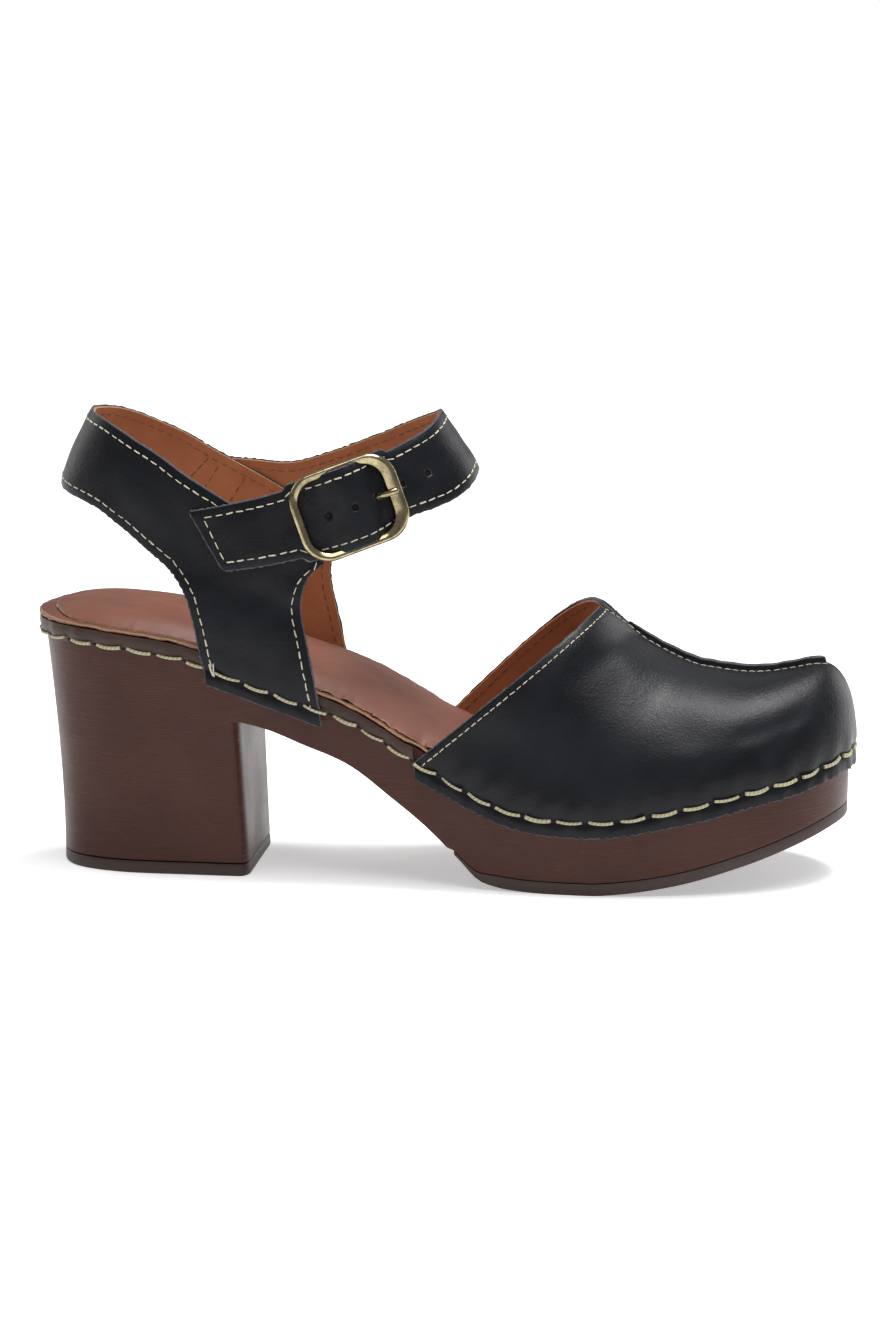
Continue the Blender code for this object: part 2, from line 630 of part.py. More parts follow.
def quarter_half():
    """Angles and heights of the quarter's grid, from the heel back down to the sole."""
    ends = []
    for x_name, z_name in (("upper_station", "upper_height"), ("lower_station", "lower_height")):
        x = column(QUARTER_SECTIONS, QUARTER_COLUMNS, x_name) * LENGTH
        z = column(QUARTER_SECTIONS, QUARTER_COLUMNS, z_name) * ANKLE_HEIGHT
        z[-1] = stitch_height(x[-1]) - MARGIN
        angle = leg_angle(x, z)
        angle[0] = math.pi
        ends.append((angle, z))
    rows = np.arange(len(QUARTER_SECTIONS), dtype=float)
    at = np.concatenate([
        np.linspace(0, QUARTER_CORNER, QUARTER_STEPS[0] + 1),
        np.linspace(QUARTER_CORNER, len(rows) - 1, QUARTER_STEPS[1] + 1)[1:],
    ])
    grids = []
    for angle, z in ends:
        pair = []
        for values in (angle, z):
            first = smooth(rows[:QUARTER_CORNER + 1], values[:QUARTER_CORNER + 1], at[at <= QUARTER_CORNER])
            last = smooth(rows[QUARTER_CORNER:], values[QUARTER_CORNER:], at[at > QUARTER_CORNER])
            pair.append(np.concatenate([first, last]))
        grids.append(pair)
    across = np.linspace(0, 1, QUARTER_ACROSS + 1)[None, :]
    (upper_angle, upper_z), (lower_angle, lower_z) = grids
    angle = upper_angle[:, None] * (1 - across) + lower_angle[:, None] * across
    z = upper_z[:, None] * (1 - across) + lower_z[:, None] * across
    return angle, z


def quarter_skin():
    """Both quarter panels and the heel strap as one wall."""
    angle, z = quarter_half()
    side = np.ones_like(angle)
    lateral = leg_point(angle, z, -side)[::-1]
    medial = leg_point(angle, z, side)[1:]
    inner = np.concatenate([lateral, medial])
    normal = grid_normals(inner)
    if normal[0, 2, 1] > 0:
        normal = -normal
    skin = Skin("quarter_straps")
    skin.shell(inner, inner + normal * UPPER_WALL)
    return skin


def strap_grid():
    """Inner points of the ankle strap and their outward normals, from its sewn start to its tail."""
    rows = np.arange(len(STRAP_SECTIONS), dtype=float)
    side = column(STRAP_SECTIONS, STRAP_COLUMNS, "side")
    at = np.linspace(0, len(rows) - 1, STRAP_STEPS + 1)
    lift = smooth(rows, column(STRAP_SECTIONS, STRAP_COLUMNS, "lift"), at) * UPPER_WALL
    edges = []
    for x_name, z_name in (("upper_station", "upper_height"), ("lower_station", "lower_height")):
        x = column(STRAP_SECTIONS, STRAP_COLUMNS, x_name) * LENGTH
        z = column(STRAP_SECTIONS, STRAP_COLUMNS, z_name) * ANKLE_HEIGHT
        angle = side * leg_angle(x, z)
        edges.append((smooth(rows, angle, at), smooth(rows, z, at)))
    across = np.linspace(0, 1, STRAP_ACROSS + 1)[None, :]
    angle = edges[0][0][:, None] * (1 - across) + edges[1][0][:, None] * across
    z = edges[0][1][:, None] * (1 - across) + edges[1][1][:, None] * across
    base = leg_point(np.abs(angle), z, np.where(angle < 0, -1.0, 1.0))
    normal = grid_normals(base)
    if normal[0, 1, 1] < 0:
        normal = -normal
    return base + normal * lift[:, None, None], normal


def strap_skin():
    """Ankle strap as a closed strip."""
    inner, normal = strap_grid()
    skin = Skin("ankle_strap")
    skin.shell(inner, inner + normal * UPPER_WALL)
    return skin


def guide(made):
    """Mark an object as a cutter that is no part of the model."""
    made.hide_render = True
    made.display_type = "WIRE"
    return made


def combine(base, other, operation):
    """Boolean of base with other, applied to base's own mesh."""
    cut = base.modifiers.new("combine", "BOOLEAN")
    cut.object = other
    cut.operation = operation
    cut.solver = "EXACT"
    depsgraph = bpy.context.evaluated_depsgraph_get()
    mesh = bpy.data.meshes.new_from_object(base.evaluated_get(depsgraph))
    base.modifiers.clear()
    base.data = mesh
    bpy.data.objects.remove(other)
    return base


def quarter_straps(buckle, material):
    """Quarter panels and heel strap with the ankle strap, with its holes, sewn on."""
    base = quarter_skin().build(material)
    strap = strap_skin().build(material)
    for cutter in hole_cutters(buckle, material):
        combine(strap, cutter, "DIFFERENCE")
    return combine(base, strap, "UNION")


class BuckleFrame:
    """Local axes of the buckle: along the strap, across it and outward, seated on the strap's outer face."""

    def __init__(self):
        inner, normal = strap_grid()
        outer = inner + normal * UPPER_WALL
        middle = outer.shape[1] // 2
        centre = self.on_strap(outer, 0.0)
        reach = BUCKLE_LENGTH / 2
        rear = self.on_strap(outer, -(reach - BAR_REAR / 2))
        front = self.on_strap(outer, reach - BAR_FRONT / 2)
        self.along = (front - rear) / np.linalg.norm(front - rear)
        width = outer[:, 0] - outer[:, -1]
        nearest = np.argmin(np.linalg.norm(outer[:, middle] - centre, axis=-1))
        across = width[nearest] - self.along * np.dot(width[nearest], self.along)
        self.across = across / np.linalg.norm(across)
        self.out = np.cross(self.across, self.along)
        if self.out[1] > 0:
            self.out = -self.out
        self.origin = rear + self.along * np.dot(centre - rear, self.along)
        local = self.local(outer.reshape(-1, 3))
        corners = (np.abs(local[:, 0]) > reach - BAR_FRONT - 1.8) & (np.abs(local[:, 0]) < reach + 1.0)
        self.seat = local[corners & (np.abs(local[:, 2]) < 8.0), 2].max() + CLEARANCE
        under = self.local(inner.reshape(-1, 3))
        above = (np.abs(under[:, 0]) < 4.0) & (np.abs(under[:, 1]) < TAB_WIDTH / 2) & (np.abs(under[:, 2]) < 8.0)
        self.bar = under[above, 2].min() - 2 * CLEARANCE - TAB_WALL - BAR_RADIUS

    @staticmethod
    def on_strap(outer, shift):
        """Point of the strap's outer face at a distance from the buckle's middle, in side view."""
        turn = math.radians(BUCKLE_TILT)
        x = BUCKLE_STATION * LENGTH + shift * math.cos(turn)
        z = BUCKLE_LEVEL * ANKLE_HEIGHT + shift * math.sin(turn)
        lateral = outer[..., 1] < 0
        gap = np.hypot(outer[..., 0] - x, outer[..., 2] - z) + np.where(lateral, 0.0, 1e6)
        near = np.argsort(gap, axis=None)[:4]
        points = outer.reshape(-1, 3)[near]
        weight = 1.0 / (gap.reshape(-1)[near] + 0.05)
        point = (points * weight[:, None]).sum(0) / weight.sum()
        return np.array([x, point[1], z])

    def local(self, points):
        """Local coordinates of points."""
        return (points - self.origin) @ np.stack([self.along, self.across, self.out], 1)

    def world(self, along, across, out):
        """Points from local coordinates."""
        along, across, out = np.broadcast_arrays(along, across, out)
        return (self.origin + along[..., None] * self.along + across[..., None] * self.across
                + out[..., None] * self.out)


def rounded_rectangle(length, width, corner, steps=5):
    """Loop of points round a rectangle with round corners."""
    points = []
    for quarter in range(4):
        cx = (length / 2 - corner) * (1, -1, -1, 1)[quarter]
        cy = (width / 2 - corner) * (1, 1, -1, -1)[quarter]
        for k in range(steps + 1):
            angle = math.pi / 2 * (quarter + k / steps)
            points.append((cx + corner * math.cos(angle), cy + corner * math.sin(angle)))
    return np.array(points)


def tube(skin, path, binormal, half_out, half_side, sides=8):
    """Closed tube along a path that lies in one plane, with an oval section."""
    tangent = np.gradient(path, axis=0)
    tangent /= np.linalg.norm(tangent, axis=-1, keepdims=True)
    normal = np.cross(binormal, tangent)
    angles = np.arange(sides) * 2 * math.pi / sides
    rings = (path[:, None] + normal[:, None] * (np.cos(angles)[None, :] * np.asarray(half_out)[:, None])[..., None]
             + binormal * (np.sin(angles)[None, :] * np.asarray(half_side)[:, None])[..., None])
    ids = skin.add(rings)
    skin.quads(ids.T, close=True)
    cap(skin, ids[0])
    cap(skin, ids[-1])


def buckle_frame(buckle, material):
    """Flat rounded frame with chamfered edges and a round centre bar."""
    skin = Skin("buckle_frame")
    outer = rounded_rectangle(BUCKLE_LENGTH, BUCKLE_WIDTH, BUCKLE_CORNER)
    window = rounded_rectangle(BUCKLE_LENGTH - BAR_FRONT - BAR_REAR, BUCKLE_WIDTH - 2 * BAR_SIDE,
                               BUCKLE_CORNER - BAR_SIDE)
    window[:, 0] += (BAR_REAR - BAR_FRONT) / 2
    low, high = buckle.seat, buckle.seat + BUCKLE_DEPTH
    rows = []
    for share, level in ((0, low), (0, high - BUCKLE_CHAMFER), (1, high), (2, high), (3, high - BUCKLE_CHAMFER), (3, low)):
        side = outer if share < 2 else window
        other = window if share < 2 else outer
        away = other - side
        away /= np.linalg.norm(away, axis=-1, keepdims=True)
        flat = side + away * (BUCKLE_CHAMFER if share in (1, 2) else 0.0)
        rows.append(buckle.world(flat[:, 0], flat[:, 1], np.full(len(flat), level)))
    ids = skin.add(np.array(rows))
    skin.quads(np.vstack([ids, ids[:1]]).T, close=True)
    made = skin.build(material)
    bar = Skin("centre_bar")
    reach = BUCKLE_WIDTH / 2 - BAR_SIDE / 2
    arm = reach - BAR_SIDE / 2
    level = buckle.seat + BUCKLE_DEPTH / 2
    path = buckle.world(0.0, np.array([-reach, -arm, 0.0, arm, reach]),
                        np.array([level, buckle.bar, buckle.bar, buckle.bar, level]))
    tube(bar, path, buckle.along, [BAR_RADIUS] * 5, [BAR_RADIUS] * 5)
    return combine(made, bar.build(material), "UNION")


def prong_path(buckle):
    """Centre line of the prong in the buckle's middle plane: its eye, its shank and its tip."""
    radius = BAR_RADIUS + CLEARANCE + PRONG_EYE
    angles = np.radians(np.linspace(60.0, 300.0, EYE_POINTS))
    eye = np.stack([radius * np.cos(angles), buckle.bar + radius * np.sin(angles)], -1)
    tip_level = buckle.seat + BUCKLE_DEPTH + 0.2 + PRONG_RADIUS
    tip_start = BUCKLE_LENGTH / 2 - BAR_FRONT + 0.6
    slope = math.tan(math.radians(PRONG_SLOPE))
    low = tip_level - slope * (tip_start - PRONG_HOLE + 2.0)
    shank = np.array([
        (radius + 1.4, buckle.bar - radius * 0.55), (PRONG_HOLE - 3.4, low), (PRONG_HOLE - 2.0, low + 0.1),
        (PRONG_HOLE, tip_level - slope * (tip_start - PRONG_HOLE)), (tip_start, tip_level),
        (tip_start + 1.2, tip_level + 0.1), (tip_start + 2.6, tip_level),
    ])
    return np.vstack([eye, shank])


def buckle_prong(buckle, material):
    """Prong round the centre bar, through a strap hole and onto the frame."""
    skin = Skin("buckle_prong")
    flat = prong_path(buckle)
    thick = np.full(len(flat), PRONG_RADIUS)
    thick[:EYE_POINTS] = PRONG_EYE
    thick[EYE_POINTS] *= 0.8
    thick[-1] *= 0.6
    wide = np.full(len(flat), PRONG_WIDTH / 2)
    wide[-1] *= 0.6
    path = buckle.world(flat[:, 0], np.zeros(len(flat)), flat[:, 1])
    tube(skin, path, buckle.across, thick, wide)
    return skin.build(material)


def hole_cutters(buckle, material):
    """Cutters of the strap's holes: one along the prong, the others straight through."""
    inner, normal = strap_grid()
    middle = (inner[:, 1] + inner[:, 2]) / 2 + normal[:, 1] * UPPER_WALL / 2
    steps = np.concatenate([[0.0], np.cumsum(np.linalg.norm(np.diff(middle, axis=0), axis=-1))])
    local = buckle.local(middle)
    lateral = np.abs(local[:, 2]) < 12.0
    first = np.argmin(np.abs(local[:, 0] - PRONG_HOLE) + np.where(lateral, 0.0, 1e6))
    made = []
    for k in HOLES:
        skin = Skin("hole_cutter")
        if k == 0:
            through = prong_path(buckle)[[PRONG_BEND, PRONG_BEND + 2]]
            ends = buckle.world(through[:, 0], 0.0, through[:, 1])
            radius = PRONG_RADIUS + PRONG_PLAY
            side = buckle.across
        else:
            length = steps[first] + k * HOLE_PITCH
            centre = np.array([np.interp(length, steps, middle[:, a]) for a in range(3)])
            axis = np.array([np.interp(length, steps, normal[:, 1, a]) for a in range(3)])
            axis /= np.linalg.norm(axis)
            ends = np.array([centre - axis * UPPER_WALL, centre + axis * UPPER_WALL])
            radius = STRAP_HOLE / 2
            side = np.cross(axis, (0.0, 0.0, 1.0))
            side /= np.linalg.norm(side)
        tube(skin, ends, side, [radius] * 2, [radius] * 2, sides=10)
        made.append(guide(skin.build(material)))
    return made


def buckle_tab(buckle, material):
    """Leather loop round the centre bar, its foot inside the lateral quarter's pointed corner."""
    skin = Skin("buckle_tab")
    ring = BAR_RADIUS + CLEARANCE
    angles = np.radians(np.linspace(-90.0, 100.0, 9))
    loop = np.stack([ring * np.cos(angles), buckle.bar + ring * np.sin(angles)], -1)
    thick = np.stack([np.cos(angles), np.sin(angles)], -1) * TAB_WALL
    back = np.array([(-3.2, buckle.bar + ring - 0.35)])
    back_out = np.array([(-0.1, 1.0)]) * TAB_WALL
    loop, thick = np.vstack([loop, back]), np.vstack([thick, back_out])
    halves = np.array([-0.5, 0.0, 0.5]) * TAB_WIDTH
    near, far = [], []
    for point, out in zip(loop, thick):
        near.append(buckle.world(np.full(3, point[0]), halves, np.full(3, point[1])))
        far.append(buckle.world(np.full(3, point[0] + out[0]), halves, np.full(3, point[1] + out[1])))
    near, far = np.array(near), np.array(far)
    corner = QUARTER_SECTIONS[QUARTER_CORNER]
    x, z = corner[0] * LENGTH, corner[1] * ANKLE_HEIGHT
    spread = np.array([1.0, 0.0, -1.0])
    feet_x = x - TAB_FOOT + TAB_SLANT[0] * spread
    feet_z = z + TAB_SLANT[1] * (1.0 - spread)
    foot = leg_point(leg_angle(feet_x, feet_z), feet_z, -1.0)
    foot[:, 1] += CLEARANCE
    rise = (near[0] - leg_point(leg_angle(near[0][:, 0], near[0][:, 2]), near[0][:, 2], -1.0))[:, 1]
    rows, backs = [], []
    for share in np.arange(0.0, 1.0, 0.25):
        line = foot * (1 - share) + near[0] * share
        angle = leg_angle(line[:, 0], line[:, 2])
        on_leg = leg_point(angle, line[:, 2], -1.0)
        on_leg[:, 1] += CLEARANCE * (1 - share) + rise * share ** 2
        rows.append(on_leg)
        backs.append(on_leg + np.array([0.0, TAB_WALL, 0.0]))
    near = np.concatenate([np.array(rows), near])
    far = np.concatenate([np.array(backs), far])
    skin.shell(near, far)
    made = skin.build(material)
    slot = Skin("slot_cutter")
    reach = PRONG_WIDTH / 2 + PRONG_PLAY
    along = np.array(TAB_SLOT)[[0, 1, 1, 0]]
    out = buckle.bar + np.array(TAB_SLOT_DEPTH)[[0, 0, 1, 1]]
    box = [buckle.world(along, np.full(4, across), out) for across in (-reach, reach)]
    ids = slot.add(np.array(box))
    slot.quads(ids.T, close=True)
    cap(slot, ids[0])
    cap(slot, ids[1])
    return combine(made, guide(slot.build(material)), "DIFFERENCE")


def shift_to_base():
    """Put the origin in the middle of the base: one shift for every piece, by its mesh."""
    solids = [o for o in bpy.data.objects if o.type == "MESH"]
    corners = np.array([v.co for o in solids for v in o.data.vertices])
    low, high = corners.min(0), corners.max(0)
    move = np.array([-(low[0] + high[0]) / 2, -(low[1] + high[1]) / 2, -low[2]])
    for made in solids:
        for v in made.data.vertices:
            v.co.x += move[0]
            v.co.y += move[1]
            v.co.z += move[2]


def main():
    """Remove what the scene holds and model the shoe."""
    for old in list(bpy.data.objects):
        bpy.data.objects.remove(old)
    moulded = finish("moulded_sole", "4f312b", 0.45)
    tread = finish("tread_rubber", "3a231e", 0.6)
    lining = finish("sock_leather", "9f7560", 0.55)
    band = finish("rand_leather", "4a3630", 0.5)
    leather = finish("black_leather", "1d1f24", 0.35)
    sole_unit(moulded)
    heel_top_piece(tread)
    forefoot_outsole(tread)
    insole(lining)
    rand(band)
    vamp(leather)
    brass = finish("brass", "b49a62", 0.3, 1.0)
    buckle = BuckleFrame()
    quarter_straps(buckle, leather)
    buckle_frame(buckle, brass)
    buckle_prong(buckle, brass)
    buckle_tab(buckle, leather)
    shift_to_base()


main()
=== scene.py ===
"""Heeled clog sandal, right shoe seen from its lateral side: the looks of every piece.

Sizes are in millimetres in the last's own place: heel back at x = 0, toe along +X, lateral side at -Y, floor at
z = 0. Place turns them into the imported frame's metres. Tables hold shares of the last's named sizes.
"""
import sys
import logging
import math
from dataclasses import dataclass, field
from enum import Enum

import bmesh
import bpy
import numpy as np
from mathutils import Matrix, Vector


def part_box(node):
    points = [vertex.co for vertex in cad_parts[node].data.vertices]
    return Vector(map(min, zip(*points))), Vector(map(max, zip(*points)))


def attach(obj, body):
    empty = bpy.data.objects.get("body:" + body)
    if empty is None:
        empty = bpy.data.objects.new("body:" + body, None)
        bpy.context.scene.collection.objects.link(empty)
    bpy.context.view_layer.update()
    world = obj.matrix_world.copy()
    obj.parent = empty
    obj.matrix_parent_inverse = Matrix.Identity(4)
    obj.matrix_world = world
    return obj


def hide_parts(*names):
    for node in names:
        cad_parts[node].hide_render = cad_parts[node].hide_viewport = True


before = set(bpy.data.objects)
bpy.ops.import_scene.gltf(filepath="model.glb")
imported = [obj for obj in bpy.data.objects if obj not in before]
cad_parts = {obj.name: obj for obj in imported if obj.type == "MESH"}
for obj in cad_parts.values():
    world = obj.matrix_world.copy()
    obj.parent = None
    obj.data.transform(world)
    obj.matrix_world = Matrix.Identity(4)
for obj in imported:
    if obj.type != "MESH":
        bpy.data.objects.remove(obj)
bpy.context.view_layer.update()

LOG = logging.getLogger("sandal")
MM = 0.001
BODY = "root"


class Side(Enum):
    """The two sides of a right shoe."""

    LATERAL = -1
    MEDIAL = 1


class Slot(Enum):
    """Material slot names with their values; nothing in this script uses them."""

    SOLE = "moulded_sole"
    TREAD = "tread_rubber"
    SOCK = "sock_leather"
    RAND = "rand_leather"
    BLACK = "black_leather"
    BRASS = "brass"


# Sole: half widths are shares of the ball width, seat of the seat rise, edge and tread of the toe spring
SOLE_COLUMNS = ("station", "lateral", "medial", "seat", "edge", "tread")
SOLE_SECTIONS = np.array([
    (0.00, 0.000, 0.000, 1.000, 0.00, 0.00),
    (0.03, 0.233, 0.233, 1.000, 0.00, 0.00),
    (0.10, 0.337, 0.331, 0.976, 0.00, 0.00),
    (0.20, 0.360, 0.342, 0.897, 0.00, 0.00),
    (0.30, 0.370, 0.331, 0.722, 0.00, 0.00),
    (0.40, 0.387, 0.326, 0.546, 0.00, 0.00),
    (0.50, 0.426, 0.351, 0.268, 0.00, 0.00),
    (0.60, 0.476, 0.407, 0.046, 0.00, 0.00),
    (0.70, 0.506, 0.462, 0.000, 0.01, 0.00),
    (0.80, 0.483, 0.473, 0.000, 0.21, 0.17),
    (0.88, 0.417, 0.429, 0.000, 0.45, 0.45),
    (0.94, 0.317, 0.339, 0.000, 0.63, 0.72),
    (0.98, 0.189, 0.202, 0.000, 0.80, 0.92),
    (1.00, 0.000, 0.000, 0.000, 0.91, 1.04),
])
# Arch: underside height as a share of the arch height
ARCH_COLUMNS = ("station", "height")
ARCH_SECTIONS = np.array([
    (0.20, 1.000), (0.256, 1.000), (0.295, 0.955), (0.335, 0.875), (0.40, 0.735), (0.445, 0.565), (0.49, 0.385),
    (0.53, 0.190), (0.555, 0.062), (0.575, 0.028), (0.61, 0.006), (0.64, 0.000), (0.75, 0.000), (1.00, 0.000),
])
# Crest of the vamp: height of its centre line without the seam, as a share of the instep height
CREST_COLUMNS = ("station", "height")
CREST_SECTIONS = np.array([
    (0.690, 1.018), (0.700, 1.005), (0.7285, 0.917), (0.7526, 0.873), (0.790, 0.817), (0.815, 0.789),
    (0.8395, 0.777), (0.864, 0.768), (0.889, 0.766), (0.913, 0.774), (0.938, 0.790), (0.952, 0.800),
    (0.980, 0.806),
])
# Vamp ribs: where a rib starts on the sole and ends on the crest, its shoulder beside the throat notch, its
# lean (1 is a straight line in side view) and its fullness (the power of its rounded section)
RIB_COLUMNS = ("foot", "shoulder", "crest", "lateral_lean", "medial_lean", "lateral_fullness", "medial_fullness")
RIB_SECTIONS = np.array([
    (0.481, 0.6935, 0.7310, 0.95, 0.80, 2.50, 3.10),
    (0.560, 0.743, 0.7580, 0.87, 0.80, 2.50, 2.85),
    (0.640, 0.787, 0.7900, 0.70, 0.68, 2.50, 2.65),
    (0.720, 0.828, 0.8280, 0.45, 0.45, 2.45, 2.50),
    (0.800, 0.868, 0.8680, 0.25, 0.25, 2.40, 2.40),
    (0.880, 0.905, 0.9050, 0.10, 0.10, 2.40, 2.40),
    (0.940, 0.935, 0.9350, 0.00, 0.00, 2.35, 2.35),
    (0.980, 0.955, 0.9550, 0.00, 0.00, 2.35, 2.35),
    (1.000, 0.9615, 0.9615, 0.00, 0.00, 2.35, 2.35),
])
# Ankle: half widths as shares of the ankle width at a share of the ankle height, and the back and front of the
# leg's outline in side view as shares of the length
LEG_COLUMNS = ("height", "lateral", "medial", "back", "front")
LEG_SECTIONS = np.array([
    (0.30, 0.610, 0.560, 0.026, 0.549),
    (0.43, 0.592, 0.552, 0.026, 0.549),
    (0.57, 0.560, 0.540, 0.026, 0.548),
    (0.71, 0.530, 0.520, 0.026, 0.546),
    (0.835, 0.505, 0.498, 0.026, 0.543),
    (1.00, 0.450, 0.445, 0.065, 0.488),
])
# Quarter, from the heel back down to the sole: its upper or front edge and its lower or rear edge
QUARTER_COLUMNS = ("upper_station", "upper_height", "lower_station", "lower_height")
QUARTER_CORNER = 6
QUARTER_SECTIONS = np.array([
    (0.0650, 0.997, 0.0260, 0.840),
    (0.0904, 0.981, 0.0671, 0.811),
    (0.1466, 0.932, 0.1092, 0.770),
    (0.1984, 0.875, 0.1482, 0.718),
    (0.2570, 0.816, 0.1727, 0.683),
    (0.3133, 0.755, 0.1880, 0.649),
    (0.3647, 0.699, 0.1992, 0.613),
    (0.3462, 0.670, 0.2044, 0.582),
    (0.3373, 0.628, 0.2084, 0.557),
    (0.3373, 0.582, 0.2120, 0.528),
    (0.3466, 0.511, 0.2165, 0.489),
    (0.3582, 0.415, 0.2209, 0.462),
    (0.3639, 0.350, 0.2221, 0.438),
])
# Ankle strap from its sewn start on the medial side round the front to its tail on the lateral side; lift is how
# far it stands off the leg, in walls
STRAP_COLUMNS = ("side", "upper_station", "upper_height", "lower_station", "lower_height", "lift")
STRAP_SECTIONS = np.array([
    (1, 0.197, 0.862, 0.165, 0.738, 0.85),
    (1, 0.241, 0.855, 0.229, 0.713, 0.85),
    (1, 0.289, 0.850, 0.289, 0.706, 0.85),
    (1, 0.337, 0.874, 0.345, 0.727, 0.85),
    (1, 0.390, 0.912, 0.414, 0.770, 0.45),
    (1, 0.442, 0.955, 0.476, 0.812, 0.05),
    (1, 0.476, 0.983, 0.518, 0.848, 0.00),
    (1, 0.494, 0.997, 0.538, 0.871, 0.00),
    (-1, 0.472, 0.962, 0.512, 0.826, 0.05),
    (-1, 0.4365, 0.9305, 0.4615, 0.7958, 0.30),
    (-1, 0.4135, 0.9115, 0.4375, 0.7735, 0.80),
    (-1, 0.3968, 0.8975, 0.4215, 0.7600, 2.60),
    (-1, 0.3802, 0.8855, 0.4052, 0.7485, 3.25),
    (-1, 0.3635, 0.8755, 0.3885, 0.7370, 2.55),
    (-1, 0.3468, 0.8665, 0.3718, 0.7270, 1.35),
    (-1, 0.3180, 0.8530, 0.3430, 0.7140, 1.17),
    (-1, 0.283, 0.835, 0.295, 0.695, 1.17),
    (-1, 0.233, 0.815, 0.261, 0.685, 1.17),
    (-1, 0.203, 0.805, 0.245, 0.681, 1.17),
])


def column(table: np.ndarray, columns: tuple[str, ...], name: str) -> np.ndarray:
    """One named column of a table."""
    return table[:, columns.index(name)]


def ease(s: np.ndarray) -> np.ndarray:
    """Smooth step from 0 to 1."""
    s = np.clip(s, 0.0, 1.0)
    return s * s * (3.0 - 2.0 * s)


def smooth(xs: np.ndarray, ys: np.ndarray, at: np.ndarray) -> np.ndarray:
    """Read a cubic curve through points.

    Args:
        xs: places of the points, rising.
        ys: values at the points.
        at: places to read.

    Returns:
        The curve's values at those places.
    """
    xs, ys, at = np.asarray(xs, float), np.asarray(ys, float), np.asarray(at, float)
    slopes = np.gradient(ys, xs)
    at = np.clip(at, xs[0], xs[-1])
    i = np.clip(np.searchsorted(xs, at, side="right") - 1, 0, len(xs) - 2)
    span = xs[i + 1] - xs[i]
    s = (at - xs[i]) / span
    return (
        ys[i] * (1 + 2 * s) * (1 - s) ** 2
        + ys[i + 1] * s * s * (3 - 2 * s)
        + slopes[i] * span * s * (1 - s) ** 2
        - slopes[i + 1] * span * s * s * (1 - s)
    )


def turn_of(station: np.ndarray) -> np.ndarray:
    """Turn 0..1 from the heel back to the toe tip, close-set at both round ends."""
    return np.arccos(np.clip(1.0 - 2.0 * np.asarray(station, float), -1.0, 1.0)) / math.pi


def station_of(turn: np.ndarray) -> np.ndarray:
    """Station of a turn: the reverse of turn_of."""
    return (1.0 - np.cos(math.pi * np.asarray(turn, float))) / 2.0


def unit(vectors: np.ndarray) -> np.ndarray:
    """Vectors at length one."""
    return vectors / np.maximum(np.linalg.norm(vectors, axis=-1, keepdims=True), 1e-9)


def grid_normals(grid: np.ndarray) -> np.ndarray:
    """Unit normals of a grid of points."""
    return unit(np.cross(np.gradient(grid, axis=0), np.gradient(grid, axis=1)))


def arc(path: np.ndarray) -> np.ndarray:
    """Length along a path up to each of its points."""
    return np.concatenate([[0.0], np.cumsum(np.linalg.norm(np.diff(path, axis=0), axis=-1))])


def ripple(*phases: np.ndarray, seed: int, count: int = 5) -> np.ndarray:
    """Smooth irregular wave in about -1..1.

    Args:
        phases: coordinates, each already divided by the wave's own size.
        seed: fixes the waves.
        count: number of waves that are summed.

    Returns:
        The wave at each place.
    """
    rng = np.random.default_rng(seed)
    total = 0.0
    for k in range(count):
        phase = rng.uniform(0, 2 * math.pi)
        for values in phases:
            phase = phase + values * 2 * math.pi * rng.uniform(0.5, 1.6) * rng.choice((-1, 1))
        total = total + np.sin(phase)
    return total / math.sqrt(count) / 1.2


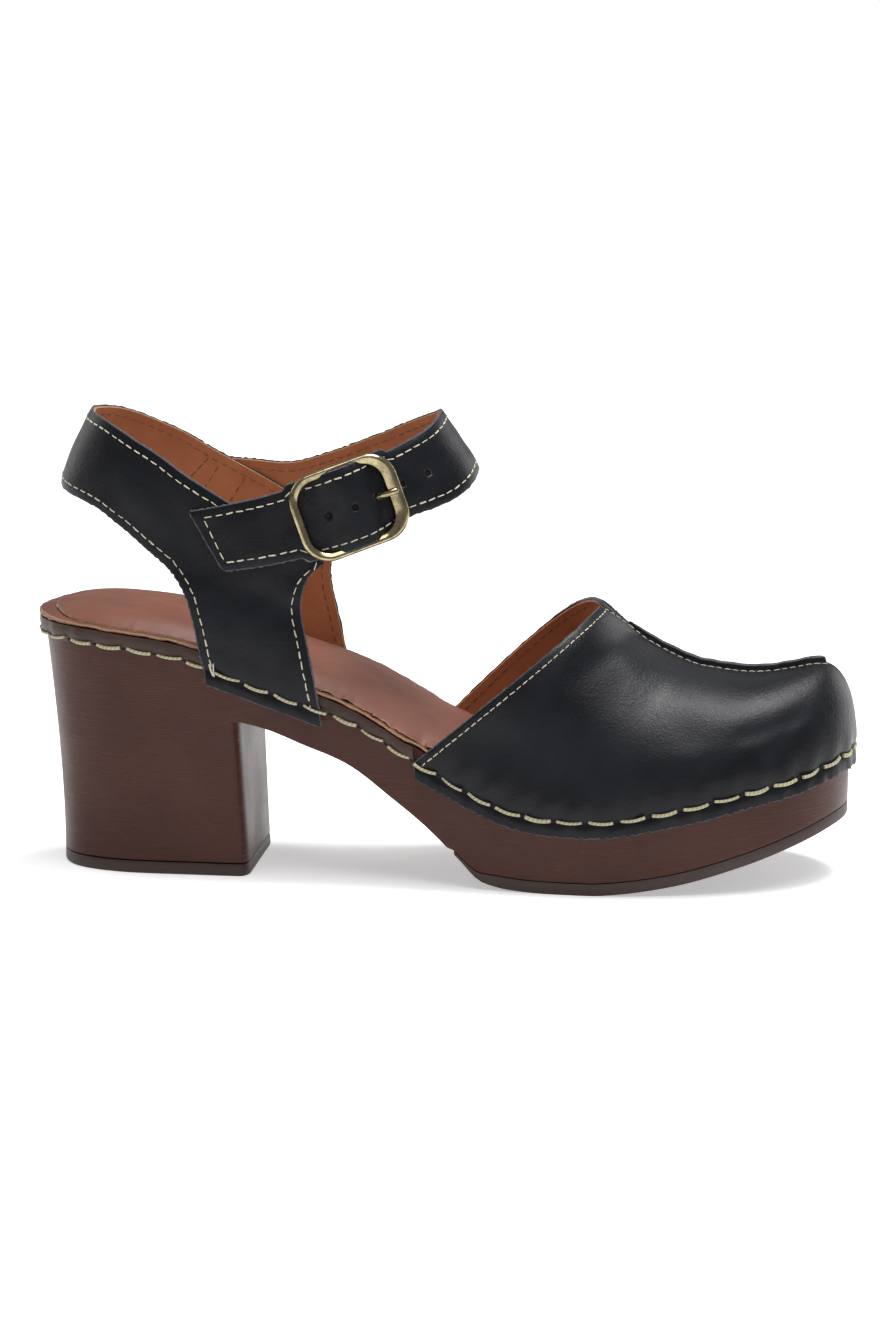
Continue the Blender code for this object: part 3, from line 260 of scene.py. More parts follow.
@dataclass(frozen=True)
class Last:
    """Sizes and forms of the sole and of the space for the foot."""

    length: float = 249.0
    ball_width: float = 90.0
    platform_height: float = 23.2
    seat_rise: float = 49.6
    toe_spring: float = 19.0
    arch_rise: float = 49.0
    heel_length: float = 64.0
    heel_taper: float = 5.2
    breast_slant: float = 2.6
    breast_corner: float = 3.0
    top_piece: float = 4.0
    outsole: float = 3.7
    outsole_edge: float = 1.0
    outsole_start: float = 0.525
    outsole_full: float = 0.585
    toe_start: float = 0.80
    tuck: float = 0.8
    clearance: float = 0.3
    rand_show: float = 4.3
    rand_below: float = 1.0
    rand_wall: float = 1.6
    instep_height: float = 82.0
    upper_wall: float = 1.8
    margin: float = 4.5
    throat_notch: float = 5.5
    seam_half: float = 1.6
    ankle_height: float = 141.0
    ankle_width: float = 61.0
    ankle_blend: float = 24.0
    welt_stitches: int = 63

    @property
    def rand_out(self) -> float:
        """Distance of the rand's outer face from the sole's side."""
        return self.clearance + self.rand_wall

    @property
    def vamp_start(self) -> float:
        """Station where the vamp's edge meets the sole."""
        return float(RIB_SECTIONS[0, 0])

    def sole_value(self, name: str, turn: np.ndarray) -> np.ndarray:
        """A column of the sole table at a turn."""
        turns = turn_of(column(SOLE_SECTIONS, SOLE_COLUMNS, "station"))
        return smooth(turns, column(SOLE_SECTIONS, SOLE_COLUMNS, name), turn)

    def turn_at(self, x: np.ndarray) -> np.ndarray:
        """Turn of a place along the length."""
        return turn_of(np.clip(np.asarray(x, float) / self.length, 0.0, 1.0))

    def stitch_height(self, x: np.ndarray) -> np.ndarray:
        """Height of the stitch line along the sole's side."""
        turn = self.turn_at(x)
        seat = self.seat_rise * self.sole_value("seat", turn)
        return self.platform_height + seat + self.toe_spring * self.sole_value("edge", turn)

    def top_height(self, x: np.ndarray) -> np.ndarray:
        """Height of the sole's top face, level with the top of the rand."""
        return self.stitch_height(x) + self.rand_show

    def tread_height(self, x: np.ndarray) -> np.ndarray:
        """Height of the forefoot tread over the floor."""
        return np.maximum(self.toe_spring * self.sole_value("tread", self.turn_at(x)), 0.0)

    def arch_height(self, x: np.ndarray) -> np.ndarray:
        """Height of the arch's underside."""
        stations = column(ARCH_SECTIONS, ARCH_COLUMNS, "station")
        shares = smooth(stations, column(ARCH_SECTIONS, ARCH_COLUMNS, "height"), np.asarray(x) / self.length)
        return self.arch_rise * np.maximum(shares, 0.0)

    def outsole_low(self, x: np.ndarray) -> np.ndarray:
        """Height of the forefoot outsole's lower face, which runs up the foot of the arch."""
        return np.maximum(self.arch_height(x), self.tread_height(x))

    def outsole_top(self, x: np.ndarray) -> np.ndarray:
        """Height of the forefoot outsole's upper face; it is pared thin up the arch."""
        full = ease((np.asarray(x) / self.length - self.outsole_start) / (self.outsole_full - self.outsole_start))
        return self.outsole_low(x) + self.outsole_edge + (self.outsole - self.outsole_edge) * full

    def under_height(self, x: np.ndarray) -> np.ndarray:
        """Height of the sole unit's underside."""
        seat = self.outsole_top(x) + self.clearance
        return np.where(x < self.outsole_start * self.length, self.arch_height(x), seat)

    def outline(self, r: np.ndarray) -> np.ndarray:
        """Sole outline in plan: r runs 0..2 from the toe tip by the lateral side, heel and medial side back."""
        r = np.mod(np.asarray(r, float), 2.0)
        turn = np.abs(1.0 - r)
        lateral = -self.ball_width * self.sole_value("lateral", turn)
        medial = self.ball_width * self.sole_value("medial", turn)
        return np.stack([self.length * station_of(turn), np.where(r < 1.0, lateral, medial)], -1)

    def outline_normal(self, r: np.ndarray) -> np.ndarray:
        """Outward normal of the outline in plan."""
        step = 0.002
        along = unit(self.outline(np.asarray(r) + step) - self.outline(np.asarray(r) - step))
        return np.stack([-along[..., 1], along[..., 0]], -1)

    def wall_point(self, r: np.ndarray, z: np.ndarray, out: np.ndarray = 0.0) -> np.ndarray:
        """Point of the sole's side.

        Args:
            r: place round the outline.
            z: height; the side draws in towards the floor.
            out: distance outward from the side.

        Returns:
            The points in millimetres.
        """
        base = self.outline(r)
        drop = self.platform_height + self.seat_rise
        depth = np.clip((self.stitch_height(base[..., 0]) - z) / drop, 0.0, 1.0)
        forward = ease((base[..., 0] / self.length - self.toe_start) / (1.0 - self.toe_start))
        inset = self.heel_taper * np.sin(depth * math.pi / 2) * (1.0 - self.tuck * forward)
        plan = base + self.outline_normal(r) * np.asarray(out - inset)[..., None]
        return np.concatenate([plan, np.broadcast_to(z, base.shape[:-1])[..., None]], -1)

    def even_turns(self, first: float, last: float, spacing: float) -> np.ndarray:
        """Places round the outline, evenly spaced along its stitch line.

        Args:
            first: outline place where the run starts.
            last: outline place where it ends.
            spacing: length of one step in millimetres.

        Returns:
            The places, first and last among them.
        """
        fine = np.linspace(first, last, 1200)
        path = self.wall_point(fine, self.stitch_height(self.outline(fine)[:, 0]))
        lengths = arc(path)
        count = max(2, round(lengths[-1] / spacing))
        return np.interp(np.linspace(0, lengths[-1], count + 1), lengths, fine)

    def stitch_phase(self, r: np.ndarray) -> np.ndarray:
        """Stitches counted round the sole up to a place on the outline; whole numbers are stitch middles."""
        fine = np.linspace(0.0, 2.0, 2400)
        lengths = arc(self.wall_point(fine, self.stitch_height(self.outline(fine)[:, 0])))
        return np.interp(np.mod(r, 2.0), fine, lengths / lengths[-1] * self.welt_stitches)

    def stitch_turns(self) -> np.ndarray:
        """Outline places of the middles of the stitches that sew the upper and the rand to the sole."""
        fine = np.linspace(0.0, 2.0, 2400)
        return np.interp(np.arange(self.welt_stitches), self.stitch_phase(fine[:-1]), fine[:-1])

    def pull(self, r: np.ndarray, rise: np.ndarray) -> np.ndarray:
        """How far leather is drawn in or bulges out by the big stitches.

        Args:
            r: outline place.
            rise: height over the stitch line in millimetres.

        Returns:
            The outward shift in millimetres.
        """
        beat = 0.5 + 0.5 * np.cos(2 * math.pi * self.stitch_phase(r))
        valley = -0.45 * np.exp(-(rise / 1.3) ** 2)
        holes = -0.6 * (1.0 - beat) * np.exp(-(np.where(rise > 0, rise / 3.4, rise / 1.6)) ** 2)
        bulge = 0.16 * beat * np.exp(-((rise - 4.5) / 3.0) ** 2)
        return valley + holes + bulge

    def leg_value(self, name: str, z: np.ndarray) -> np.ndarray:
        """A column of the ankle table at a height."""
        heights = column(LEG_SECTIONS, LEG_COLUMNS, "height")
        return smooth(heights, column(LEG_SECTIONS, LEG_COLUMNS, name), np.asarray(z, float) / self.ankle_height)

    def leg_angle(self, x: np.ndarray, z: np.ndarray) -> np.ndarray:
        """Angle round the ankle of a point in side view: 0 at the front, pi at the back."""
        back, front = self.leg_value("back", z) * self.length, self.leg_value("front", z) * self.length
        return np.arccos(np.clip((2.0 * x - back - front) / (front - back), -1.0, 1.0))

    def leg_point(self, angle: np.ndarray, z: np.ndarray, side: np.ndarray) -> np.ndarray:
        """Point of the inner face of the upper round the ankle, drawn out to the sole's side low down.

        Args:
            angle: angle round the ankle.
            z: height.
            side: -1 lateral or +1 medial.

        Returns:
            The points in millimetres.
        """
        back, front = self.leg_value("back", z) * self.length, self.leg_value("front", z) * self.length
        x = (back + front) / 2 + np.cos(angle) * (front - back) / 2
        half = np.where(side < 0, self.leg_value("lateral", z), self.leg_value("medial", z)) * self.ankle_width
        y = half * np.abs(np.sin(angle)) ** 0.9
        r = 1.0 + side * turn_of(np.clip(x / self.length, 0.0, 1.0))
        low = np.minimum(z, self.top_height(x))
        foot = np.abs(self.wall_point(r, low, self.rand_out + self.clearance)[..., 1])
        share = ease((z - self.top_height(x) - self.rand_below) / self.ankle_blend)
        return np.stack([x, side * (foot * (1.0 - share) + y * share), z], -1)


class Place:
    """Turns the last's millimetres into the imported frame's metres."""

    def __init__(self, last: Last) -> None:
        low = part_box("sole_unit")[0]
        widest = last.outline(np.linspace(0.0, 1.0, 400))[:, 1].min()
        self.shift = np.array([low[0], low[1] - widest * MM, 0.0])

    def metres(self, points: np.ndarray) -> np.ndarray:
        """Points in the frame's metres."""
        return np.asarray(points, float) * MM + self.shift


def srgb(hex_colour: str) -> tuple[float, float, float, float]:
    """Linear colour of an sRGB hex value."""
    parts = [int(hex_colour[i:i + 2], 16) / 255 for i in (0, 2, 4)]
    linear = [p / 12.92 if p <= 0.04045 else ((p + 0.055) / 1.055) ** 2.4 for p in parts]
    return (*linear, 1.0)


def add_node(tree: bpy.types.NodeTree, kind: str, inputs: dict | None = None, **settings: object) -> bpy.types.Node:
    """Add a node with its settings and links.

    Args:
        tree: the node tree.
        kind: the node's type name.
        inputs: values or sockets by input name or number; a socket is linked.
        settings: properties of the node.

    Returns:
        The node.
    """
    node = tree.nodes.new(kind)
    for name, value in settings.items():
        setattr(node, name, value)
    for name, value in (inputs or {}).items():
        socket = node.inputs[name]
        if isinstance(value, bpy.types.NodeSocket):
            tree.links.new(value, socket)
        else:
            socket.default_value = value
    return node


def blank_material(name: str) -> tuple[bpy.types.Material, bpy.types.NodeTree, bpy.types.Node]:
    """A material with its tree and its Principled shader."""
    material = bpy.data.materials.new(name)
    material.use_nodes = True
    tree = material.node_tree
    return material, tree, tree.nodes["Principled BSDF"]


@dataclass(frozen=True)
class Leather:
    """Leather with grain, fine wrinkles, uneven colour and soft wear where the piece is marked."""

    name: str
    colour: str
    shade: str
    worn: str
    roughness: float
    grain: float = 0.55
    grain_depth: float = 0.05
    wrinkle: float = 3.2
    wrinkle_depth: float = 0.12
    patch: float = 16.0
    specular: float = 0.5
    coat: float = 0.0

    def make(self) -> bpy.types.Material:
        """Build the material."""
        material, tree, shader = blank_material(self.name)
        place = add_node(tree, "ShaderNodeTexCoord").outputs["Object"]
        patches = add_node(tree, "ShaderNodeTexNoise", {
            "Vector": place, "Scale": 1.0 / (self.patch * MM), "Detail": 4.0, "Roughness": 0.55})
        mark = add_node(tree, "ShaderNodeAttribute", attribute_name="mark").outputs["Fac"]
        uneven = add_node(tree, "ShaderNodeMapRange", {
            "Value": patches.outputs["Fac"], "From Min": 0.35, "From Max": 0.68})
        base = add_node(tree, "ShaderNodeMix", {
            "Factor": uneven.outputs[0], "A": srgb(self.colour), "B": srgb(self.shade)}, data_type="RGBA")
        tint = add_node(tree, "ShaderNodeMix", {
            "Factor": mark, "A": base.outputs["Result"], "B": srgb(self.worn)}, data_type="RGBA")
        cells = add_node(tree, "ShaderNodeTexVoronoi", {
            "Vector": place, "Scale": 1.0 / (self.grain * MM), "Randomness": 1.0}, feature="SMOOTH_F1")
        pores = add_node(tree, "ShaderNodeTexNoise", {
            "Vector": place, "Scale": 2.2 / (self.grain * MM), "Detail": 3.0, "Roughness": 0.6})
        folds = add_node(tree, "ShaderNodeTexNoise", {
            "Vector": place, "Scale": 1.0 / (self.wrinkle * MM), "Detail": 5.0, "Roughness": 0.55,
            "Distortion": 0.8})
        grain = add_node(tree, "ShaderNodeBump", {
            "Height": cells.outputs["Distance"], "Strength": 0.5, "Distance": self.grain_depth * MM})
        pored = add_node(tree, "ShaderNodeBump", {
            "Height": pores.outputs["Fac"], "Strength": 0.35, "Distance": self.grain_depth * MM,
            "Normal": grain.outputs["Normal"]})
        folded = add_node(tree, "ShaderNodeBump", {
            "Height": folds.outputs["Fac"], "Strength": 0.5, "Distance": self.wrinkle_depth * MM,
            "Normal": pored.outputs["Normal"]})
        sheen = add_node(tree, "ShaderNodeMapRange", {
            "Value": patches.outputs["Fac"], "From Min": 0.3, "From Max": 0.7,
            "To Min": self.roughness - 0.05, "To Max": self.roughness + 0.07})
        rough = add_node(tree, "ShaderNodeMath", {
            0: mark, 1: 0.25, 2: sheen.outputs[0]}, operation="MULTIPLY_ADD")
        tree.links.new(tint.outputs["Result"], shader.inputs["Base Color"])
        tree.links.new(rough.outputs[0], shader.inputs["Roughness"])
        tree.links.new(folded.outputs["Normal"], shader.inputs["Normal"])
        shader.inputs["Specular IOR Level"].default_value = self.specular
        shader.inputs["Coat Weight"].default_value = self.coat
        shader.inputs["Coat Roughness"].default_value = 0.25
        return material


@dataclass(frozen=True)
class CutEdge:
    """Raw cut edge of leather: matt, fibrous and uneven in colour."""

    name: str
    colour: str
    fibre: str

    def make(self) -> bpy.types.Material:
        """Build the material."""
        material, tree, shader = blank_material(self.name)
        place = add_node(tree, "ShaderNodeTexCoord").outputs["Object"]
        fibres = add_node(tree, "ShaderNodeTexNoise", {
            "Vector": place, "Scale": 1.0 / (0.5 * MM), "Detail": 4.0, "Roughness": 0.7})
        spread = add_node(tree, "ShaderNodeMapRange", {
            "Value": fibres.outputs["Fac"], "From Min": 0.35, "From Max": 0.7})
        tint = add_node(tree, "ShaderNodeMix", {
            "Factor": spread.outputs[0], "A": srgb(self.colour), "B": srgb(self.fibre)}, data_type="RGBA")
        bump = add_node(tree, "ShaderNodeBump", {
            "Height": fibres.outputs["Fac"], "Strength": 0.9, "Distance": 0.2 * MM})
        tree.links.new(tint.outputs["Result"], shader.inputs["Base Color"])
        tree.links.new(bump.outputs["Normal"], shader.inputs["Normal"])
        shader.inputs["Roughness"].default_value = 0.85
        return material


@dataclass(frozen=True)
class MouldedSole:
    """Moulded polyurethane stained like wood: fine level streaks, cloudy red-brown colour, satin skin."""

    name: str = "moulded_polyurethane"
    colour: str = "41231b"
    shade: str = "3a1f19"
    streak_colour: str = "5c362b"
    grain_colour: str = "2c1713"
    streak: float = 0.36
    run: float = 9.0
    roughness: float = 0.40

    def make(self) -> bpy.types.Material:
        """Build the material."""
        material, tree, shader = blank_material(self.name)
        place = add_node(tree, "ShaderNodeTexCoord").outputs["Object"]
        level = (1.0 / (self.run * MM), 1.0 / (self.run * MM), 1.0 / (self.streak * MM))
        stretched = add_node(tree, "ShaderNodeMapping", {"Vector": place, "Scale": level})
        streaks = add_node(tree, "ShaderNodeTexNoise", {
            "Vector": stretched.outputs[0], "Scale": 1.0, "Detail": 3.0, "Roughness": 0.6, "Distortion": 0.3})
        thin = add_node(tree, "ShaderNodeMapRange", {
            "Value": streaks.outputs["Fac"], "From Min": 0.53, "From Max": 0.66})
        dark = add_node(tree, "ShaderNodeMapRange", {
            "Value": streaks.outputs["Fac"], "From Min": 0.45, "From Max": 0.32, "To Max": 0.38})
        clouds = add_node(tree, "ShaderNodeTexNoise", {
            "Vector": place, "Scale": 1.0 / (22.0 * MM), "Detail": 3.0, "Roughness": 0.5})
        cloudy = add_node(tree, "ShaderNodeMapRange", {
            "Value": clouds.outputs["Fac"], "From Min": 0.35, "From Max": 0.68})
        base = add_node(tree, "ShaderNodeMix", {
            "Factor": cloudy.outputs[0], "A": srgb(self.colour), "B": srgb(self.shade)}, data_type="RGBA")
        share = add_node(tree, "ShaderNodeMath", {0: thin.outputs[0], 1: 0.32}, operation="MULTIPLY")
        grained = add_node(tree, "ShaderNodeMix", {
            "Factor": dark.outputs[0], "A": base.outputs["Result"], "B": srgb(self.grain_colour)},
            data_type="RGBA")
        tint = add_node(tree, "ShaderNodeMix", {
            "Factor": share.outputs[0], "A": grained.outputs["Result"], "B": srgb(self.streak_colour)},
            data_type="RGBA")
        bump = add_node(tree, "ShaderNodeBump", {
            "Height": thin.outputs[0], "Strength": 0.6, "Distance": 0.07 * MM})
        skin = add_node(tree, "ShaderNodeTexNoise", {
            "Vector": place, "Scale": 1.0 / (1.4 * MM), "Detail": 3.0, "Roughness": 0.5})
        skinned = add_node(tree, "ShaderNodeBump", {
            "Height": skin.outputs["Fac"], "Strength": 0.3, "Distance": 0.06 * MM,
            "Normal": bump.outputs["Normal"]})
        rough = add_node(tree, "ShaderNodeMapRange", {
            "Value": clouds.outputs["Fac"], "From Min": 0.3, "From Max": 0.7,
            "To Min": self.roughness - 0.05, "To Max": self.roughness + 0.08})
        tree.links.new(tint.outputs["Result"], shader.inputs["Base Color"])
        tree.links.new(rough.outputs[0], shader.inputs["Roughness"])
        tree.links.new(skinned.outputs["Normal"], shader.inputs["Normal"])
        shader.inputs["Specular IOR Level"].default_value = 0.2
        return material


@dataclass(frozen=True)
class LinenThread:
    """Waxed linen thread: plies twisted round each other, matt with a faint shine; the grooves between the plies take
    the darker colour as painted shade.
    """

    name: str
    colour: str
    shade: str
    twist: float = 1.3

    def make(self) -> bpy.types.Material:
        """Build the material."""
        material, tree, shader = blank_material(self.name)
        lay = add_node(tree, "ShaderNodeAttribute", attribute_name="lay")
        parts = add_node(tree, "ShaderNodeSeparateXYZ", {0: lay.outputs["Vector"]})
        turns = add_node(tree, "ShaderNodeMath", {
            0: parts.outputs["X"], 1: 1.0 / (self.twist * MM), 2: parts.outputs["Y"]}, operation="MULTIPLY_ADD")
        angle = add_node(tree, "ShaderNodeMath", {0: turns.outputs[0], 1: 2 * math.pi}, operation="MULTIPLY")
        plies = add_node(tree, "ShaderNodeMath", {0: angle.outputs[0]}, operation="SINE")
        height = add_node(tree, "ShaderNodeMapRange", {"Value": plies.outputs[0], "From Min": -1.0})
        # Painted shade: the ply grooves get the darker colour, the ply crests the lighter one
        tint = add_node(tree, "ShaderNodeMix", {
            "Factor": height.outputs[0], "A": srgb(self.shade), "B": srgb(self.colour)}, data_type="RGBA")
        bump = add_node(tree, "ShaderNodeBump", {
            "Height": height.outputs[0], "Strength": 0.6, "Distance": 0.07 * MM})
        tree.links.new(tint.outputs["Result"], shader.inputs["Base Color"])
        tree.links.new(bump.outputs["Normal"], shader.inputs["Normal"])
        shader.inputs["Roughness"].default_value = 0.62
        return material


@dataclass(frozen=True)
class PolishedBrass:
    """Cast brass, tumbled and lacquered: pale gold, with faint scuffs and a duller patch here and there."""

    name: str = "polished_brass"
    colour: str = "ab9f7d"
    shade: str = "6b6248"
    roughness: float = 0.15

    def make(self) -> bpy.types.Material:
        """Build the material."""
        material, tree, shader = blank_material(self.name)
        place = add_node(tree, "ShaderNodeTexCoord").outputs["Object"]
        patches = add_node(tree, "ShaderNodeTexNoise", {
            "Vector": place, "Scale": 1.0 / (3.0 * MM), "Detail": 5.0, "Roughness": 0.65})
        spread = add_node(tree, "ShaderNodeMapRange", {
            "Value": patches.outputs["Fac"], "From Min": 0.4, "From Max": 0.7})
        tint = add_node(tree, "ShaderNodeMix", {
            "Factor": spread.outputs[0], "A": srgb(self.colour), "B": srgb(self.shade)}, data_type="RGBA")
        rough = add_node(tree, "ShaderNodeMapRange", {
            "Value": patches.outputs["Fac"], "From Min": 0.35, "From Max": 0.7,
            "To Min": self.roughness - 0.06, "To Max": self.roughness + 0.14})
        bump = add_node(tree, "ShaderNodeBump", {
            "Height": patches.outputs["Fac"], "Strength": 0.25, "Distance": 0.05 * MM})
        tree.links.new(tint.outputs["Result"], shader.inputs["Base Color"])
        tree.links.new(rough.outputs[0], shader.inputs["Roughness"])
        tree.links.new(bump.outputs["Normal"], shader.inputs["Normal"])
        shader.inputs["Metallic"].default_value = 1.0
        return material


@dataclass(frozen=True)
class Plain:
    """Matt surface with a fine tooth, such as tread rubber, or the near-black painted shade that stands for the dark
    inside of an awl hole.
    """

    name: str
    colour: str
    roughness: float
    tooth: float = 0.8
    depth: float = 0.05

    def make(self) -> bpy.types.Material:
        """Build the material."""
        material, tree, shader = blank_material(self.name)
        place = add_node(tree, "ShaderNodeTexCoord").outputs["Object"]
        tooth = add_node(tree, "ShaderNodeTexNoise", {
            "Vector": place, "Scale": 1.0 / (self.tooth * MM), "Detail": 4.0, "Roughness": 0.6})
        bump = add_node(tree, "ShaderNodeBump", {
            "Height": tooth.outputs["Fac"], "Strength": 0.5, "Distance": self.depth * MM})
        tree.links.new(bump.outputs["Normal"], shader.inputs["Normal"])
        shader.inputs["Base Color"].default_value = srgb(self.colour)
        shader.inputs["Roughness"].default_value = self.roughness
        return material


class Finishes:
    """The shoe's materials, made once."""

    def __init__(self) -> None:
        self.black = Leather(
            "black_waxed_leather", "0f1014", "15161b", "24262b", 0.35, grain=0.55, grain_depth=0.12,
            wrinkle=2.0, wrinkle_depth=0.22, specular=0.175).make()
        self.lining = Leather(
            "tan_lining_leather", "ab6c47", "9e5f3e", "7d4428", 0.55, grain=0.7, specular=0.25).make()
        self.sock = Leather(
            "padded_sock_leather", "734636", "673d2e", "563223", 0.5, grain=0.9, grain_depth=0.08,
            wrinkle=4.5, wrinkle_depth=0.2, specular=0.4).make()
        self.cover = Leather(
            "insole_cover_leather", "6d4433", "603a2b", "4e2d20", 0.5, grain=0.7, specular=0.3).make()
        self.rand = Leather(
            "dyed_rand_leather", "3c2922", "32211b", "4c372f", 0.45, grain=0.5, specular=0.26).make()
        self.black_edge = CutEdge("black_cut_edge", "141518", "5b5d62").make()
        self.tan_edge = CutEdge("tan_cut_edge", "7a4d33", "b08c68").make()
        self.pale_edge = CutEdge("pale_cut_edge", "6e4c39", "a98c6c").make()
        self.sole = MouldedSole().make()
        self.tread = Plain("tread_rubber", "2e1a16", 0.55).make()
        # Each thread's second colour is the painted shade of the grooves between its plies
        self.thread = LinenThread("waxed_linen_thread", "b2aa8b", "8d8568").make()
        self.fine_thread = LinenThread("linen_sewing_thread", "d2cdb8", "a8a288", twist=0.7).make()
        self.tan_thread = LinenThread("tan_sewing_thread", "8a5a38", "55321c", twist=0.7).make()
        # Near-black painted shade that stands in for the dark inside of holes
        self.hole = Plain("painted_hole_shade", "08080a", 0.9).make()
        self.brass = PolishedBrass().make()


class Surface:
    """Collects grids of points, in millimetres, into one mesh with a finish and a wear mark for each face."""

    def __init__(self, name: str) -> None:
        self.name = name
        self.points: list[np.ndarray] = []
        self.marks: list[np.ndarray] = []
        self.faces: list[np.ndarray] = []
        self.finishes: list[np.ndarray] = []
        self.caps: list[tuple[list[int], int]] = []
        self.count = 0

    def add(self, grid: np.ndarray, mark: np.ndarray | float = 0.0) -> np.ndarray:
        """Add an array of points.

        Args:
            grid: the points.
            mark: wear or shade at each point, 0 to 1.

        Returns:
            The array of their numbers.
        """
        grid = np.asarray(grid, float)
        ids = np.arange(self.count, self.count + grid[..., 0].size).reshape(grid.shape[:-1])
        self.points.append(grid.reshape(-1, 3))
        self.marks.append(np.broadcast_to(mark, grid.shape[:-1]).reshape(-1))
        self.count += ids.size
        return ids

    def quads(self, ids: np.ndarray, finish: int | np.ndarray = 0, close: bool = False) -> None:
        """Face a grid of numbers.

        Args:
            ids: the numbers.
            finish: number of the finish, or an array with one number for each face.
            close: whether the last row joins the first.
        """
        ids = np.vstack([ids, ids[:1]]) if close else ids
        quads = np.stack([ids[:-1, :-1], ids[:-1, 1:], ids[1:, 1:], ids[1:, :-1]], -1)
        self.faces.append(quads.reshape(-1, 4))
        self.finishes.append(np.broadcast_to(finish, quads.shape[:2]).reshape(-1))

    def cap(self, ids: np.ndarray, finish: int = 0) -> None:
        """Close a ring of numbers with one face."""
        self.caps.append(([int(i) for i in ids], finish))

    def edge(self, inner: np.ndarray, outer: np.ndarray, inner_ids: np.ndarray, outer_ids: np.ndarray,
             beyond: np.ndarray, finishes: tuple[int, int], share: float = 0.45) -> None:
        """Face the cut edge of a wall with a softly rounded strip of two layers.

        Args:
            inner: edge points of the inner face.
            outer: edge points of the outer face.
            inner_ids: their numbers.
            outer_ids: the outer points' numbers.
            beyond: vectors that lead outward past the edge, in millimetres.
            finishes: finish of the lining's layer and of the outer layer.
            share: the lining's share of the wall.
        """
        soft = np.ones(len(inner))
        soft[[0, -1]] = 0.0
        rough = 1.0 + 0.5 * ripple(arc(outer) / 1.7, seed=17)
        rows = [inner_ids]
        for part, bulge in ((0.12, 0.3), (share, 0.4), (share + 0.03, 2.2 * rough), (0.9, 1.7 * rough)):
            rows.append(self.add(inner * (1 - part) + outer * part + beyond * (soft * bulge)[:, None]))
        rows.append(outer_ids)
        stack = np.stack(rows)
        self.quads(stack[:3], finishes[0])
        self.quads(stack[2:], finishes[1])

    def build(self, place: Place, materials: list[bpy.types.Material], angle: float = 40.0) -> bpy.types.Object:
        """Make the object: doubles merged, faces outward, smooth up to an angle.

        Args:
            place: turns millimetres into the frame's metres.
            materials: the finishes in order.
            angle: edges sharper than this many degrees stay sharp.

        Returns:
            The object, at the origin.
        """
        mesh = bpy.data.meshes.new(self.name)
        quads = np.concatenate(self.faces) if self.faces else np.zeros((0, 4), int)
        faces = [tuple(face) for face in quads.tolist()] + [tuple(ids) for ids, _ in self.caps]
        mesh.from_pydata(place.metres(np.concatenate(self.points)).tolist(), [], faces)
        finishes = np.concatenate(self.finishes + [np.array([f for _, f in self.caps], int)])
        mesh.polygons.foreach_set("material_index", finishes.astype(np.int32))
        marks = mesh.attributes.new("mark", "FLOAT", "POINT")
        marks.data.foreach_set("value", np.concatenate(self.marks).astype(np.float32))
        shape = bmesh.new()
        shape.from_mesh(mesh)
        bmesh.ops.remove_doubles(shape, verts=shape.verts, dist=0.004 * MM)
        bmesh.ops.dissolve_degenerate(shape, edges=shape.edges, dist=0.001 * MM)
        bmesh.ops.recalc_face_normals(shape, faces=shape.faces)
        shape.to_mesh(mesh)
        shape.free()
        mesh.shade_smooth()
        mesh.set_sharp_from_angle(angle=math.radians(angle))
        for material in materials:
            mesh.materials.append(material)
        made = bpy.data.objects.new(self.name, mesh)
        bpy.context.collection.objects.link(made)
        return made


def settle(piece: bpy.types.Object) -> bpy.types.Object:
    """Turn a piece with its modifiers into a plain mesh."""
    depsgraph = bpy.context.evaluated_depsgraph_get()
    mesh = bpy.data.meshes.new_from_object(piece.evaluated_get(depsgraph))
    piece.modifiers.clear()
    piece.data = mesh
    return piece


def bevel(piece: bpy.types.Object, width: float, angle: float = 38.0, segments: int = 2) -> bpy.types.Object:
    """Round the sharp edges of a piece.

    Args:
        piece: the object.
        width: width of the rounding in millimetres.
        angle: edges sharper than this many degrees are rounded.
        segments: faces across the rounding.

    Returns:
        The same object with a plain mesh.
    """
    rounding = piece.modifiers.new("rounding", "BEVEL")
    rounding.width = width * MM
    rounding.segments = segments
    rounding.limit_method = "ANGLE"
    rounding.angle_limit = math.radians(angle)
    rounding.harden_normals = False
    settle(piece)
    piece.data.shade_smooth()
    piece.data.set_sharp_from_angle(angle=math.radians(angle))
    return piece


def enter(piece: bpy.types.Object, nodes: tuple[str, ...] = ()) -> bpy.types.Object:
    """Attach a piece to the body and hide the CAD nodes that it stands for.

    Args:
        piece: the object.
        nodes: the CAD nodes that it stands for.

    Returns:
        The same object.
    """
    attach(piece, BODY)
    if nodes:
        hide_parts(*nodes)
    LOG.info("%s: %d faces", piece.name, len(piece.data.polygons))
    return piece


@dataclass(frozen=True)
class Crease:
    """Soft trough or ridge across a panel, placed in side view; a negative depth is a trough."""

    side: Side
    start: tuple[float, float]
    end: tuple[float, float]
    width: float
    depth: float
    bow: float = 0.0

    def push(self, points: np.ndarray) -> np.ndarray:
        """Outward shift of points in millimetres."""
        start, end = np.array(self.start), np.array(self.end)
        along = end - start
        flat = points[..., [0, 2]] - start
        t = np.clip((flat @ along) / (along @ along), 0.0, 1.0)
        across = unit(np.array([-along[1], along[0]]))
        line = t[..., None] * along + across * (self.bow * 4.0 * t * (1.0 - t))[..., None]
        gap = np.linalg.norm(flat - line, axis=-1)
        fade = ease(np.minimum(t, 1.0 - t) / 0.3) * 0.85 + 0.15
        shown = ease(0.5 + points[..., 1] * self.side.value / 8.0)
        return self.depth * np.exp(-((gap / self.width) ** 2)) * fade * shown


@dataclass(frozen=True)
class StitchKind:
    """One kind of stitch: its pitch, its length over the leather, thread radius, rise, sideways sag."""

    pitch: float
    length: float
    radius: float
    rise: float
    sag: float = 0.0
    jitter: float = 0.05


